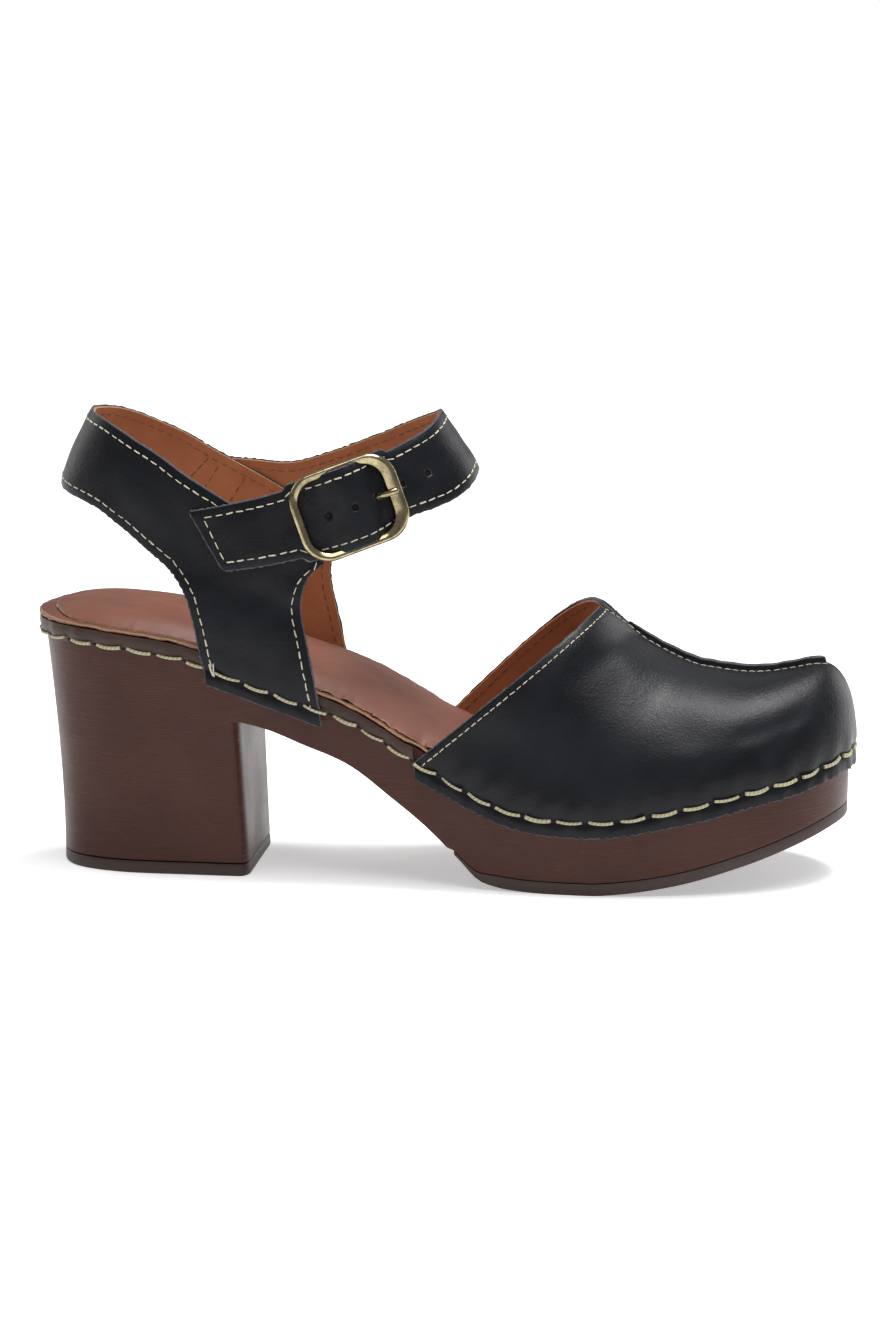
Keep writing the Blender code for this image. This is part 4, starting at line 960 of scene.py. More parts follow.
@dataclass
class StitchRow:
    """Middles of stitches with their direction and the surface's outward direction."""

    points: np.ndarray
    along: np.ndarray
    out: np.ndarray

    @classmethod
    def spaced(cls, path: np.ndarray, out: np.ndarray, pitch: float) -> "StitchRow":
        """Spread stitches evenly along a path.

        Args:
            path: points of the path.
            out: outward directions at those points.
            pitch: distance between stitch middles.

        Returns:
            The row.
        """
        lengths = arc(path)
        count = max(1, int(round(lengths[-1] / pitch)))
        at = (np.arange(count) + 0.5) * lengths[-1] / count
        points = np.stack([np.interp(at, lengths, path[:, a]) for a in range(3)], -1)
        out = unit(np.stack([np.interp(at, lengths, out[:, a]) for a in range(3)], -1))
        step = lengths[-1] / count / 3
        ahead = np.stack([np.interp(at + step, lengths, path[:, a]) for a in range(3)], -1)
        behind = np.stack([np.interp(at - step, lengths, path[:, a]) for a in range(3)], -1)
        return cls(points, unit(ahead - behind), out)


class Sewing:
    """Geometry Nodes trees that put a stitch, or a dark oval of painted hole shade, on every marked point of a row.
    """

    def __init__(self, place: Place) -> None:
        self.place = place
        self.stitches = self.stitch_tree()
        self.holes = self.hole_shade_tree()

    @staticmethod
    def open_tree(name: str, sizes: tuple[str, ...]) -> tuple[bpy.types.NodeTree, bpy.types.Node]:
        """A geometry tree with its points, named sizes and material as inputs."""
        tree = bpy.data.node_groups.new(name, "GeometryNodeTree")
        tree.interface.new_socket("Points", in_out="INPUT", socket_type="NodeSocketGeometry")
        for size in sizes:
            tree.interface.new_socket(size, in_out="INPUT", socket_type="NodeSocketFloat")
        tree.interface.new_socket("Material", in_out="INPUT", socket_type="NodeSocketMaterial")
        tree.interface.new_socket("Geometry", in_out="OUTPUT", socket_type="NodeSocketGeometry")
        return tree, add_node(tree, "NodeGroupInput")

    @staticmethod
    def place_on_points(tree: bpy.types.NodeTree, source: bpy.types.Node, shape: bpy.types.NodeSocket,
                        low: tuple, high: tuple) -> None:
        """Set a shape on every point, turned to the row, realized and given its material."""
        along = add_node(tree, "GeometryNodeInputNamedAttribute", {"Name": "along"}, data_type="FLOAT_VECTOR")
        out = add_node(tree, "GeometryNodeInputNamedAttribute", {"Name": "out"}, data_type="FLOAT_VECTOR")
        first = add_node(tree, "FunctionNodeAlignRotationToVector", {"Vector": along.outputs[0]}, axis="X")
        turned = add_node(tree, "FunctionNodeAlignRotationToVector", {
            "Rotation": first.outputs[0], "Vector": out.outputs[0]}, axis="Z", pivot_axis="X")
        vary = add_node(tree, "FunctionNodeRandomValue", {0: low, 1: high, "Seed": 7}, data_type="FLOAT_VECTOR")
        placed = add_node(tree, "GeometryNodeInstanceOnPoints", {
            "Points": source.outputs["Points"], "Instance": shape, "Rotation": turned.outputs[0],
            "Scale": vary.outputs[0]})
        real = add_node(tree, "GeometryNodeRealizeInstances", {0: placed.outputs[0]})
        dressed = add_node(tree, "GeometryNodeSetMaterial", {
            "Geometry": real.outputs[0], "Material": source.outputs["Material"]})
        add_node(tree, "NodeGroupOutput", {0: dressed.outputs[0]})

    def stitch_tree(self) -> bpy.types.NodeTree:
        """Tree that sews a bowed length of thread on every point."""
        tree, source = self.open_tree("sewn_stitches", ("Length", "Radius", "Rise", "Sag"))
        half = add_node(tree, "ShaderNodeMath", {0: source.outputs["Length"], 1: 0.5}, operation="MULTIPLY")
        back = add_node(tree, "ShaderNodeMath", {0: half.outputs[0], 1: -1.0}, operation="MULTIPLY")
        depth = add_node(tree, "ShaderNodeMath", {0: source.outputs["Radius"], 1: -0.9}, operation="MULTIPLY")
        start = add_node(tree, "ShaderNodeCombineXYZ", {"X": back.outputs[0], "Z": depth.outputs[0]})
        end = add_node(tree, "ShaderNodeCombineXYZ", {"X": half.outputs[0], "Z": depth.outputs[0]})
        middle = add_node(tree, "ShaderNodeCombineXYZ", {
            "Y": source.outputs["Sag"], "Z": source.outputs["Rise"]})
        bow = add_node(tree, "GeometryNodeCurveQuadraticBezier", {
            "Resolution": 8, "Start": start.outputs[0], "Middle": middle.outputs[0], "End": end.outputs[0]})
        reach = add_node(tree, "GeometryNodeSplineParameter")
        marked = add_node(tree, "GeometryNodeStoreNamedAttribute", {
            "Geometry": bow.outputs[0], "Name": "reach", "Value": reach.outputs["Length"]}, data_type="FLOAT")
        ring = add_node(tree, "GeometryNodeCurvePrimitiveCircle", {
            "Resolution": 8, "Radius": source.outputs["Radius"]})
        turn = add_node(tree, "GeometryNodeSplineParameter")
        wound = add_node(tree, "GeometryNodeStoreNamedAttribute", {
            "Geometry": ring.outputs[0], "Name": "turn", "Value": turn.outputs["Factor"]}, data_type="FLOAT")
        tube = add_node(tree, "GeometryNodeCurveToMesh", {
            "Curve": marked.outputs[0], "Profile Curve": wound.outputs[0], "Fill Caps": True})
        along = add_node(tree, "GeometryNodeInputNamedAttribute", {"Name": "reach"}, data_type="FLOAT")
        round_it = add_node(tree, "GeometryNodeInputNamedAttribute", {"Name": "turn"}, data_type="FLOAT")
        lay = add_node(tree, "ShaderNodeCombineXYZ", {"X": along.outputs[0], "Y": round_it.outputs[0]})
        laid = add_node(tree, "GeometryNodeStoreNamedAttribute", {
            "Geometry": tube.outputs[0], "Name": "lay", "Value": lay.outputs[0]}, data_type="FLOAT_VECTOR")
        self.place_on_points(tree, source, laid.outputs[0], (0.93, 0.75, 0.9), (1.04, 1.3, 1.08))
        return tree

    def hole_shade_tree(self) -> bpy.types.NodeTree:
        """Tree that sinks a dark oval of painted hole shade on every point."""
        tree, source = self.open_tree("painted_hole_shade_tree", ("Length", "Radius"))
        ball = add_node(tree, "GeometryNodeMeshIcoSphere", {"Radius": 1.0, "Subdivisions": 2})
        size = add_node(tree, "ShaderNodeCombineXYZ", {
            "X": source.outputs["Length"], "Y": source.outputs["Radius"], "Z": 0.12 * MM})
        oval = add_node(tree, "GeometryNodeTransform", {"Geometry": ball.outputs[0], "Scale": size.outputs[0]})
        self.place_on_points(tree, source, oval.outputs[0], (0.8, 0.8, 0.9), (1.15, 1.15, 1.1))
        return tree

    def sew(self, name: str, rows: list[StitchRow], tree: bpy.types.NodeTree, sizes: dict[str, float],
            material: bpy.types.Material, jitter: float = 0.0) -> bpy.types.Object:
        """Make one piece from rows of stitches or holes.

        Args:
            name: the piece's name.
            rows: the rows.
            tree: the stitch tree or the hole tree.
            sizes: the tree's named sizes in millimetres.
            material: the thread, or the near-black painted shade of the holes.
            jitter: how far a stitch's direction strays, as a share.

        Returns:
            The piece with a plain mesh.
        """
        points = np.concatenate([row.points for row in rows])
        along = np.concatenate([row.along for row in rows])
        out = np.concatenate([row.out for row in rows])
        rng = np.random.default_rng(11)
        along = unit(along + rng.normal(0.0, jitter, along.shape))
        mesh = bpy.data.meshes.new(name)
        mesh.from_pydata(self.place.metres(points).tolist(), [], [])
        for label, values in (("along", along), ("out", out)):
            stored = mesh.attributes.new(label, "FLOAT_VECTOR", "POINT")
            stored.data.foreach_set("vector", values.astype(np.float32).ravel())
        piece = bpy.data.objects.new(name, mesh)
        bpy.context.collection.objects.link(piece)
        sewing = piece.modifiers.new("sewing", "NODES")
        sewing.node_group = tree
        for item in tree.interface.items_tree:
            if item.in_out == "INPUT" and item.name in sizes:
                sewing[item.identifier] = sizes[item.name] * MM
            if item.in_out == "INPUT" and item.name == "Material":
                sewing[item.identifier] = material
        settle(piece)
        piece.data.shade_smooth()
        return piece

    def stitch(self, name: str, rows: list[StitchRow], kind: StitchKind,
               material: bpy.types.Material) -> bpy.types.Object:
        """Sew rows of one kind of stitch."""
        sizes = {"Length": kind.length, "Radius": kind.radius, "Rise": kind.rise, "Sag": kind.sag}
        return self.sew(name, rows, self.stitches, sizes, material, kind.jitter)

    def paint_hole_shade(self, name: str, rows: list[StitchRow], length: float, radius: float,
               material: bpy.types.Material) -> bpy.types.Object:
        """Sink a dark oval of painted hole shade on every point of the rows."""
        return self.sew(name, rows, self.holes, {"Length": length, "Radius": radius}, material)


@dataclass
class Bottom:
    """Sole unit, heel top piece and forefoot outsole."""

    last: Last
    place: Place
    finishes: Finishes
    rounding: float = 0.7
    step: float = 2.4

    def turns(self) -> tuple[np.ndarray, int, int]:
        """Turns of the sole's columns, with the numbers of the breast's and the outsole's first column."""
        last = self.last
        breast = (last.heel_length - last.breast_corner) / last.length
        marks = turn_of(np.array([0.0, breast, last.outsole_start, 1.0]))
        runs = []
        for first, end in zip(marks[:-1], marks[1:]):
            runs.append(last.even_turns(1.0 - first, 1.0 - end, self.step))
        turns = np.concatenate([1.0 - runs[0], 1.0 - runs[1][1:], 1.0 - runs[2][1:]])
        return turns, len(runs[0]) - 1, len(runs[0]) + len(runs[1]) - 2

    def heel_ring(self, z: float, turns: np.ndarray) -> np.ndarray:
        """Closed ring of the heel at a height: lateral side, back, medial side and the breast."""
        last = self.last
        lean = last.breast_slant * (1.0 - z / last.arch_rise)
        corner = turn_of((last.heel_length - last.breast_corner + lean) / last.length)
        turns = turns * corner / turns[-1]
        lateral = last.wall_point(1.0 - turns[::-1], z)
        medial = last.wall_point(1.0 + turns[1:], z)
        across = self.across()[-2:0:-1]
        breast = lateral[0] * (1 - across)[:, None] + medial[-1] * across[:, None]
        breast[:, 0] += self.bow()
        return np.concatenate([lateral, medial, breast])

    @staticmethod
    def across() -> np.ndarray:
        """Shares across a face between both sides, close-set at its round corners."""
        return np.array([0.0, 0.008, 0.02, 0.04, 0.065, 0.1, 0.3, 0.5, 0.7, 0.9, 0.935, 0.96, 0.98, 0.992, 1.0])

    def bow(self) -> np.ndarray:
        """How far the breast stands before the line between its corners."""
        share = self.across()[1:-1]
        near = np.minimum(share, 1.0 - share) / 0.1
        return self.last.breast_corner * np.sqrt(np.clip(1.0 - (1.0 - np.clip(near, 0, 1)) ** 2, 0, 1))

    def sole_unit(self) -> bpy.types.Object:
        """Platform and block heel in one moulded piece."""
        last = self.last
        turns, breast, outsole = self.turns()
        skin = Surface("sole")
        x = last.length * station_of(turns)
        lows = np.where(np.arange(len(x)) <= breast, last.arch_rise, last.under_height(x))
        rows, sides = 14, []
        for side in Side:
            r = 1.0 + side.value * turns
            wall = [last.wall_point(r, last.top_height(x) + (lows - last.top_height(x)) * k / rows)
                    for k in range(rows + 1)]
            skin.quads(skin.add(np.array(wall)))
            sides.append(np.array(wall))
        across = self.across()[None, :, None]
        for row, first in ((0, 0), (rows, breast)):
            span = sides[0][row, first:][:, None] * (1 - across) + sides[1][row, first:][:, None] * across
            if row:
                span[0, 1:-1, 0] += self.bow()
            skin.quads(skin.add(span))
        heights = np.linspace(last.arch_rise, last.top_piece + last.clearance, 16)
        rings = skin.add(np.array([self.heel_ring(z, turns[:breast + 1]) for z in heights]))
        skin.quads(rings.T, close=True)
        skin.cap(rings[-1])
        piece = bevel(skin.build(self.place, [self.finishes.sole]), self.rounding)
        return enter(piece, ("sole_unit",))

    def heel_top_piece(self) -> bpy.types.Object:
        """Thin tread under the heel."""
        turns, breast, _ = self.turns()
        skin = Surface("heel_tread")
        rings = skin.add(np.array([self.heel_ring(z, turns[:breast + 1]) for z in (0.0, self.last.top_piece)]))
        skin.quads(rings.T, close=True)
        skin.cap(rings[0])
        skin.cap(rings[1])
        piece = bevel(skin.build(self.place, [self.finishes.tread]), self.rounding)
        return enter(piece, ("heel_top_piece",))

    def forefoot_outsole(self) -> bpy.types.Object:
        """Thin tread under the forefoot, pared thin up the arch."""
        last = self.last
        turns, _, outsole = self.turns()
        turns = turns[outsole:]
        x = last.length * station_of(turns)
        skin = Surface("forefoot_tread")
        lateral = [last.wall_point(1.0 - turns, h(x)) for h in (last.outsole_low, last.outsole_top)]
        medial = [last.wall_point(1.0 + turns, h(x)) for h in (last.outsole_low, last.outsole_top)]
        across = np.linspace(0, 1, 13)[None, :, None]
        low = lateral[0][:, None] * (1 - across) + medial[0][:, None] * across
        top = lateral[1][:, None] * (1 - across) + medial[1][:, None] * across
        ids, tops = skin.add(low), skin.add(top)
        skin.quads(ids)
        skin.quads(tops)
        for k in (0, -1):
            skin.quads(np.stack([ids[:, k], tops[:, k]]))
        skin.quads(np.stack([ids[0], tops[0]]))
        piece = bevel(skin.build(self.place, [self.finishes.tread]), self.rounding)
        return enter(piece, ("forefoot_outsole",))


@dataclass
class Footbed:
    """Insole cover with its raw rim, the groove, and the padded sock."""

    last: Last
    place: Place
    finishes: Finishes
    cover_wall: float = 1.6
    rim_width: float = 4.8
    rim_rise: float = 0.8
    groove_width: float = 1.0
    groove_depth: float = 0.8
    sock_rise: float = 1.4
    sock_crown: float = 2.6
    shoulder: float = 12.0
    step: float = 1.3

    def loop(self) -> tuple[np.ndarray, np.ndarray]:
        """Outline places of the footbed's columns and how far its edge lies outside the sole's side."""
        last = self.last
        half = last.even_turns(0.0, 1.0, self.step)
        r = np.concatenate([half, 2.0 - half[-2:0:-1]])
        inside = ease((station_of(np.abs(1.0 - r)) - last.vamp_start + 0.012) / 0.010)
        return r, last.rand_out * (1.0 - inside) - last.clearance * inside

    @staticmethod
    def worn_down(r: np.ndarray) -> np.ndarray:
        """Share of the rim's full rise: whole round the heel back and the medial side, low on the lateral side."""
        return 1.0 - 0.52 * ease((1.0 - r - 0.05) / 0.12)

    @staticmethod
    def narrowed(r: np.ndarray) -> np.ndarray:
        """Share of the rim's full width: the sock reaches close to the edge along the lateral side."""
        return 1.0 - 0.6 * ease((1.0 - r - 0.04) / 0.14)

    def level(self, r: np.ndarray, out: np.ndarray, inward: float, rise: np.ndarray) -> np.ndarray:
        """Loop of points at a distance inward from the edge and a rise over the sole's top."""
        plan = self.last.outline(r) + self.last.outline_normal(r) * (out - inward)[:, None]
        z = self.last.top_height(plan[:, 0]) + self.last.clearance + rise
        return np.concatenate([plan, z[:, None]], -1)

    def span(self, skin: Surface, ids: np.ndarray, points: np.ndarray, crown: float, finish: int,
             marks: bool = False) -> None:
        """Face the inside of a loop with lines from side to side, crowned in the middle.

        Args:
            skin: the surface.
            ids: numbers of the loop's points, from the toe by the lateral side and heel back.
            points: the loop's points.
            crown: rise of the middle line over the loop.
            finish: number of the finish.
            marks: not used.
        """
        half = len(ids) // 2
        lateral, medial = points[:half + 1], np.concatenate([points[half:], points[:1]])[::-1]
        share = np.linspace(0, 1, 15)[1:-1]
        rows = lateral[:, None] * (1 - share)[None, :, None] + medial[:, None] * share[None, :, None]
        base = self.last.top_height(rows[..., 0]) - self.last.top_height(lateral[:, 0])[:, None]
        width = np.abs(medial[:, 1] - lateral[:, 1])
        full = ease(width / 40.0)[:, None]
        rows[..., 2] = lateral[:, 2][:, None] + base + crown * full * (1.0 - (2 * share - 1)[None, :] ** 2)
        inner = skin.add(rows)
        left = ids[:half + 1]
        right = np.concatenate([ids[half:], ids[:1]])[::-1]
        skin.quads(np.concatenate([left[:, None], inner, right[:, None]], axis=1), finish)

    def cover(self) -> bpy.types.Object:
        """Leather cover: flat rim with a raw edge that frays a little over the rand."""
        skin = Surface("insole_cover")
        r, out = self.loop()
        phase = self.last.stitch_phase(r)
        fray = 0.22 * ripple(phase / 0.35, seed=3) + 0.15 * ripple(phase / 0.12, seed=4)
        wave = 0.3 * ripple(phase / 1.3, seed=5)
        top = self.cover_wall + self.rim_rise
        heights = (
            (0.5, 0.0, 0), (0.05, 0.15, 1), (-0.25, 0.9, 1), (-0.1, 1.5, 1), (0.35, 1.72, 0), (1.4, 1.9, 0),
            (2.8, 2.15, 0), (self.rim_width - 0.6, top, 0), (self.rim_width, top - 0.2, 0),
            (self.rim_width + self.groove_width, top - self.groove_depth, 0),
            (self.rim_width + 4.0, top - self.groove_depth, 0),
        )
        rows = []
        for inward, rise, raw in heights:
            near = np.clip(1.0 - inward / 3.0, 0.0, 1.0)
            low = self.worn_down(r) if inward < self.rim_width + 2.0 else 0.45
            fringe = fray * (1.0 if raw else near * 0.6)
            width = np.where(inward > 0.5, inward * self.narrowed(r), inward)
            rows.append(self.level(r, out + fringe, width, rise * low + wave * near * 0.5))
        rows = np.array(rows)
        ids = skin.add(rows)
        finish = np.array([0, 0, 1, 1] + [0] * (len(heights) - 5))[:, None]
        skin.quads(np.hstack([ids, ids[:, :1]]), np.broadcast_to(finish, (len(heights) - 1, len(r))))
        self.span(skin, ids[-1], rows[-1], 0.0, 0)
        self.span(skin, ids[0], rows[0], 0.0, 0)
        piece = skin.build(self.place, [self.finishes.cover, self.finishes.pale_edge], 60.0)
        return enter(piece, ("insole",))

    def sock(self) -> bpy.types.Object:
        """Padded sock in the groove, with a raw edge and a low crown."""
        skin = Surface("padded_sock")
        r, out = self.loop()
        phase = self.last.stitch_phase(r)
        station = station_of(np.abs(1.0 - r))
        waist = ease((station - 0.3) / 0.08) * (1.0 - ease((station - 0.56) / 0.06))
        loose = waist * np.where(r < 1.0, 1.0, 0.5)
        fray = (0.25 + 0.45 * loose) * ripple(phase / 0.5, seed=8) + 0.15 * ripple(phase / 0.15, seed=9)
        lift = loose * (0.35 + 0.35 * ripple(phase / 0.8, seed=10))
        base = self.cover_wall + self.rim_rise
        start = self.rim_width + self.groove_width * 0.4
        floor = base - self.groove_depth + 0.1
        heights = (
            (1.2, floor, 0), (0.35, floor, 1), (0.0, base - 0.1, 1), (0.05, base + 0.45, 1),
            (0.5, base + 0.85, 0), (1.2, base + 1.2, 0), (2.4, base + 1.6, 0), (4.2, base + 2.0, 0),
            (self.shoulder - self.rim_width, base + self.sock_rise + self.sock_crown * 0.4, 0),
        )
        rows = []
        for inward, rise, raw in heights:
            near = np.clip(1.0 - inward / 4.0, 0.0, 1.0)
            puckers = 0.16 * loose * ripple(phase / 0.6, rows_phase(inward), seed=12)
            low = 1.0 - (1.0 - self.worn_down(r)) * np.clip(1.0 - inward / 6.0, 0.0, 1.0)
            shift = start * self.narrowed(r) + inward - 0.6 * loose * near
            rows.append(self.level(r, out + fray * near, shift, rise * low + (lift + puckers) * near))
        rows = np.array(rows)
        ids = skin.add(rows)
        finish = np.array([1, 1, 1, 0, 0, 0, 0, 0])[:, None]
        skin.quads(np.hstack([ids, ids[:, :1]]), np.broadcast_to(finish, (len(heights) - 1, len(r))))
        self.span(skin, ids[-1], rows[-1], self.sock_crown * 0.6, 0)
        self.span(skin, ids[0], rows[0], 0.0, 0)
        piece = skin.build(self.place, [self.finishes.sock, self.finishes.pale_edge], 60.0)
        return enter(piece, ("insole",))


def groove_row(footbed: Footbed) -> StitchRow:
    """Stitches that show in the groove behind the sock's heel end."""
    r = footbed.last.even_turns(0.93, 1.10, 5.2)
    out = np.full(len(r), footbed.last.rand_out)
    top = footbed.cover_wall + footbed.rim_rise - footbed.groove_depth + 0.75
    points = footbed.level(r, out, footbed.rim_width + footbed.groove_width / 2, np.full(len(r), top))
    return StitchRow(points, unit(np.gradient(points, axis=0)), np.tile((0.0, 0.0, 1.0), (len(r), 1)))


def rows_phase(inward: float) -> float:
    """Phase of the sock's puckers at a distance from its edge."""
    return inward / 6.0


@dataclass
class Rand:
    """Leather band round the sole's top edge, drawn in by the big stitches."""

    last: Last
    place: Place
    finishes: Finishes
    step: float = 1.1

    def build(self) -> bpy.types.Object:
        """Make the band."""
        last = self.last
        end = turn_of(last.vamp_start - 2 * last.clearance / last.length)
        r = last.even_turns(1.0 - end, 1.0 + end, self.step)
        x = last.outline(r)[:, 0]
        stitch, top = last.stitch_height(x), last.top_height(x)
        uneven = 0.12 * ripple(last.stitch_phase(r) / 0.6, seed=21)
        beat = 0.5 - 0.5 * np.cos(2 * math.pi * last.stitch_phase(r))
        rows = [last.wall_point(r, stitch - last.rand_below, last.clearance)]
        for share in np.linspace(0.0, 1.0, 9):
            z = stitch - last.rand_below * (1 - 0.7 * beat) * (1 - share) + (top - stitch) * share
            rise = z - stitch
            out = last.rand_out + last.pull(r, rise) * 0.9 + 0.25 * np.sin(share * math.pi) + uneven
            if share == 0.0:
                out = out - 0.25
            rows.append(last.wall_point(r, z, out))
        rows.append(last.wall_point(r, top, last.clearance))
        skin = Surface("rand_band")
        ids = skin.add(np.array(rows))
        skin.quads(ids, close=True)
        skin.cap(ids[:, 0])
        skin.cap(ids[:, -1])
        piece = skin.build(self.place, [self.finishes.rand], 55.0)
        return enter(piece, ("rand",))


@dataclass
class Vamp:
    """Closed toe of two panels that meet in a standing centre seam."""

    last: Last
    place: Place
    finishes: Finishes
    seam_height: float = 1.9
    step: float = 1.25
    climb: int = 58
    creases: tuple[Crease, ...] = (
        Crease(Side.LATERAL, (132.0, 45.0), (182.0, 40.0), 9.0, -1.0, 3.0),
        Crease(Side.LATERAL, (174.0, 73.0), (216.0, 58.0), 6.5, 0.85, -3.0),
        Crease(Side.LATERAL, (212.0, 48.5), (241.0, 56.5), 3.0, -0.65, -2.0),
        Crease(Side.LATERAL, (196.0, 52.0), (222.0, 44.0), 5.0, -0.35, -2.0),
        Crease(Side.LATERAL, (187.0, 38.0), (214.0, 44.0), 4.0, 0.35, 2.0),
        Crease(Side.LATERAL, (226.0, 38.0), (233.0, 50.0), 2.4, -0.35, 1.0),
        Crease(Side.LATERAL, (208.0, 36.0), (210.0, 45.0), 1.8, -0.35, 0.5),
        Crease(Side.LATERAL, (170.0, 72.0), (184.0, 60.0), 2.2, -0.35, 1.5),
        Crease(Side.MEDIAL, (136.0, 46.0), (180.0, 42.0), 9.0, -0.9, 3.0),
        Crease(Side.MEDIAL, (170.0, 66.0), (208.0, 54.0), 7.0, 0.6, -4.0),
        Crease(Side.MEDIAL, (198.0, 46.0), (226.0, 54.0), 5.0, -0.45, -3.0),
    )
    outer: np.ndarray = field(default=None, init=False)
    inner: np.ndarray = field(default=None, init=False)
    normal: np.ndarray = field(default=None, init=False)
    places: np.ndarray = field(default=None, init=False)
    off: np.ndarray = field(default=None, init=False)

    def rib_value(self, name: str, turn: float) -> float:
        """A column of the rib table at a turn."""
        turns = turn_of(column(RIB_SECTIONS, RIB_COLUMNS, "foot"))
        return float(smooth(turns, column(RIB_SECTIONS, RIB_COLUMNS, name), turn))

    def crest_height(self, x: np.ndarray) -> np.ndarray:
        """Height of the vamp's outer centre line, without the standing seam."""
        stations = column(CREST_SECTIONS, CREST_COLUMNS, "station")
        shares = smooth(stations, column(CREST_SECTIONS, CREST_COLUMNS, "height"), np.asarray(x) / self.last.length)
        return self.last.instep_height * shares

    @staticmethod
    def beside_seam() -> np.ndarray:
        """Distances from the centre plane of the columns on and beside the standing seam."""
        return np.array([5.2, 4.2, 3.4, 2.8, 2.4, 2.15, 1.95, 1.8, 1.65, 1.45, 1.1, 0.7, 0.35, 0.18, 0.08, 0.0])

    def rib(self, turn: float, side: Side) -> tuple[np.ndarray, np.ndarray]:
        """Inner points of one rib, from its lower margin up to the crest, and their distances from the seam."""
        last = self.last
        r = 1.0 + side.value * turn
        stitch = last.stitch_height(last.outline(r)[0])
        lows = np.linspace(1.0, 0.0, 8)[:-1]
        low = np.array([last.wall_point(r, stitch - last.margin * share, last.clearance) for share in lows])
        foot = last.wall_point(r, stitch, last.clearance)
        shoulder = self.rib_value("shoulder", turn) * last.length
        crest = self.rib_value("crest", turn) * last.length
        reach = float(np.hypot(shoulder - foot[0], foot[1]))
        power = 2.0 / self.rib_value(side.name.lower() + "_fullness", turn)
        lean = self.rib_value(side.name.lower() + "_lean", turn)
        curve = np.cos(np.radians(83.0 * np.linspace(0, 1, self.climb) ** 1.7)) ** power
        beside = (self.beside_seam()[0] + 1.2) / reach
        flat = beside + (1.0 - beside) * (curve - curve[-1]) / (1.0 - curve[-1])
        flat = np.concatenate([flat, self.beside_seam() / reach])
        rise = (1.0 - np.minimum(flat, 1.0) ** (2.0 / power)) ** (power / 2.0)
        x_share = (1.0 - lean) * (1.0 - flat) + lean * rise
        notch = np.clip(1.0 - flat * abs(foot[1]) / last.throat_notch, 0.0, 1.0)
        x = foot[0] + (shoulder - foot[0]) * x_share + (crest - shoulder) * notch
        top = self.crest_height(shoulder) - last.upper_wall
        dip = self.crest_height(crest) - self.crest_height(shoulder)
        z = foot[2] + (top - foot[2]) * rise + dip * notch
        at = 1.0 + side.value * turn_of(np.clip(x / last.length, 0.0, 1.0))
        edge = last.wall_point(at, last.stitch_height(x), last.clearance)[:, 1]
        y = (foot[1] * (1.0 - lean) + edge * lean) * flat
        points = np.vstack([low, np.stack([x, y, z], -1)])
        return points, np.concatenate([np.full(len(low), reach), flat * reach])

    def shape(self) -> None:
        """Work out the panels' inner and outer faces."""
        last = self.last
        start = turn_of(last.vamp_start)
        turns = 1.0 - last.even_turns(1.0 - start, 0.0, self.step)
        inner, off, places = [], [], []
        for turn in turns:
            lateral, near = self.rib(turn, Side.LATERAL)
            medial, _ = self.rib(turn, Side.MEDIAL)
            inner.append(np.vstack([lateral, medial[-2::-1]]))
            off.append(np.concatenate([near, near[-2::-1]]))
            count = len(near)
            places.append(np.where(np.arange(2 * count - 1) < count, 1.0 - turn, 1.0 + turn))
        self.inner, self.off, self.places = np.array(inner), np.array(off), np.array(places)
        ghost = np.concatenate([self.inner, self.inner[-2:-1, ::-1]])
        normal = grid_normals(ghost)[:-1]
        middle = self.inner.shape[1] // 2
        self.normal = -normal if normal[len(normal) // 2, middle, 2] < 0 else normal
        smooth_outer = self.inner + self.normal * last.upper_wall
        push = sum(crease.push(smooth_outer) for crease in self.creases)
        away = ease((self.off - 3.0) / 8.0)
        edge_near = ease(arc_rows(self.inner) / 6.0)
        rise = self.inner[..., 2] - last.stitch_height(last.outline(self.places)[..., 0])
        sewn = last.pull(self.places, rise) * ease(self.off / 12.0)
        margin = np.clip(-rise / last.margin, 0.0, 1.0)
        phase = last.stitch_phase(self.places)
        flare = margin * (0.25 + 0.3 * ripple(phase / 0.45, seed=31))
        body = 0.12 * ripple(self.inner[..., 0] / 34, self.inner[..., 2] / 22, seed=33)
        self.outer = smooth_outer + self.normal * (push * away * edge_near + sewn + flare + body * away)[..., None]
        cut = margin ** 2 * 0.35 * ripple(phase / 0.3, seed=32)
        self.outer[..., 2] += cut
        self.inner[..., 2] += cut
        lift = self.seam_height * ease((2.0 - self.off) / 0.5)
        crown = -0.3 * ((self.off - 0.8) / 0.8) ** 2 * (self.off < 1.6)
        gap = -0.9 * np.exp(-((self.off / 0.14) ** 2))
        worn = 0.12 * ripple(self.inner[..., 0] / 9, seed=34) * (self.off < 2.0)
        self.outer[..., 2] += lift + crown + gap + worn

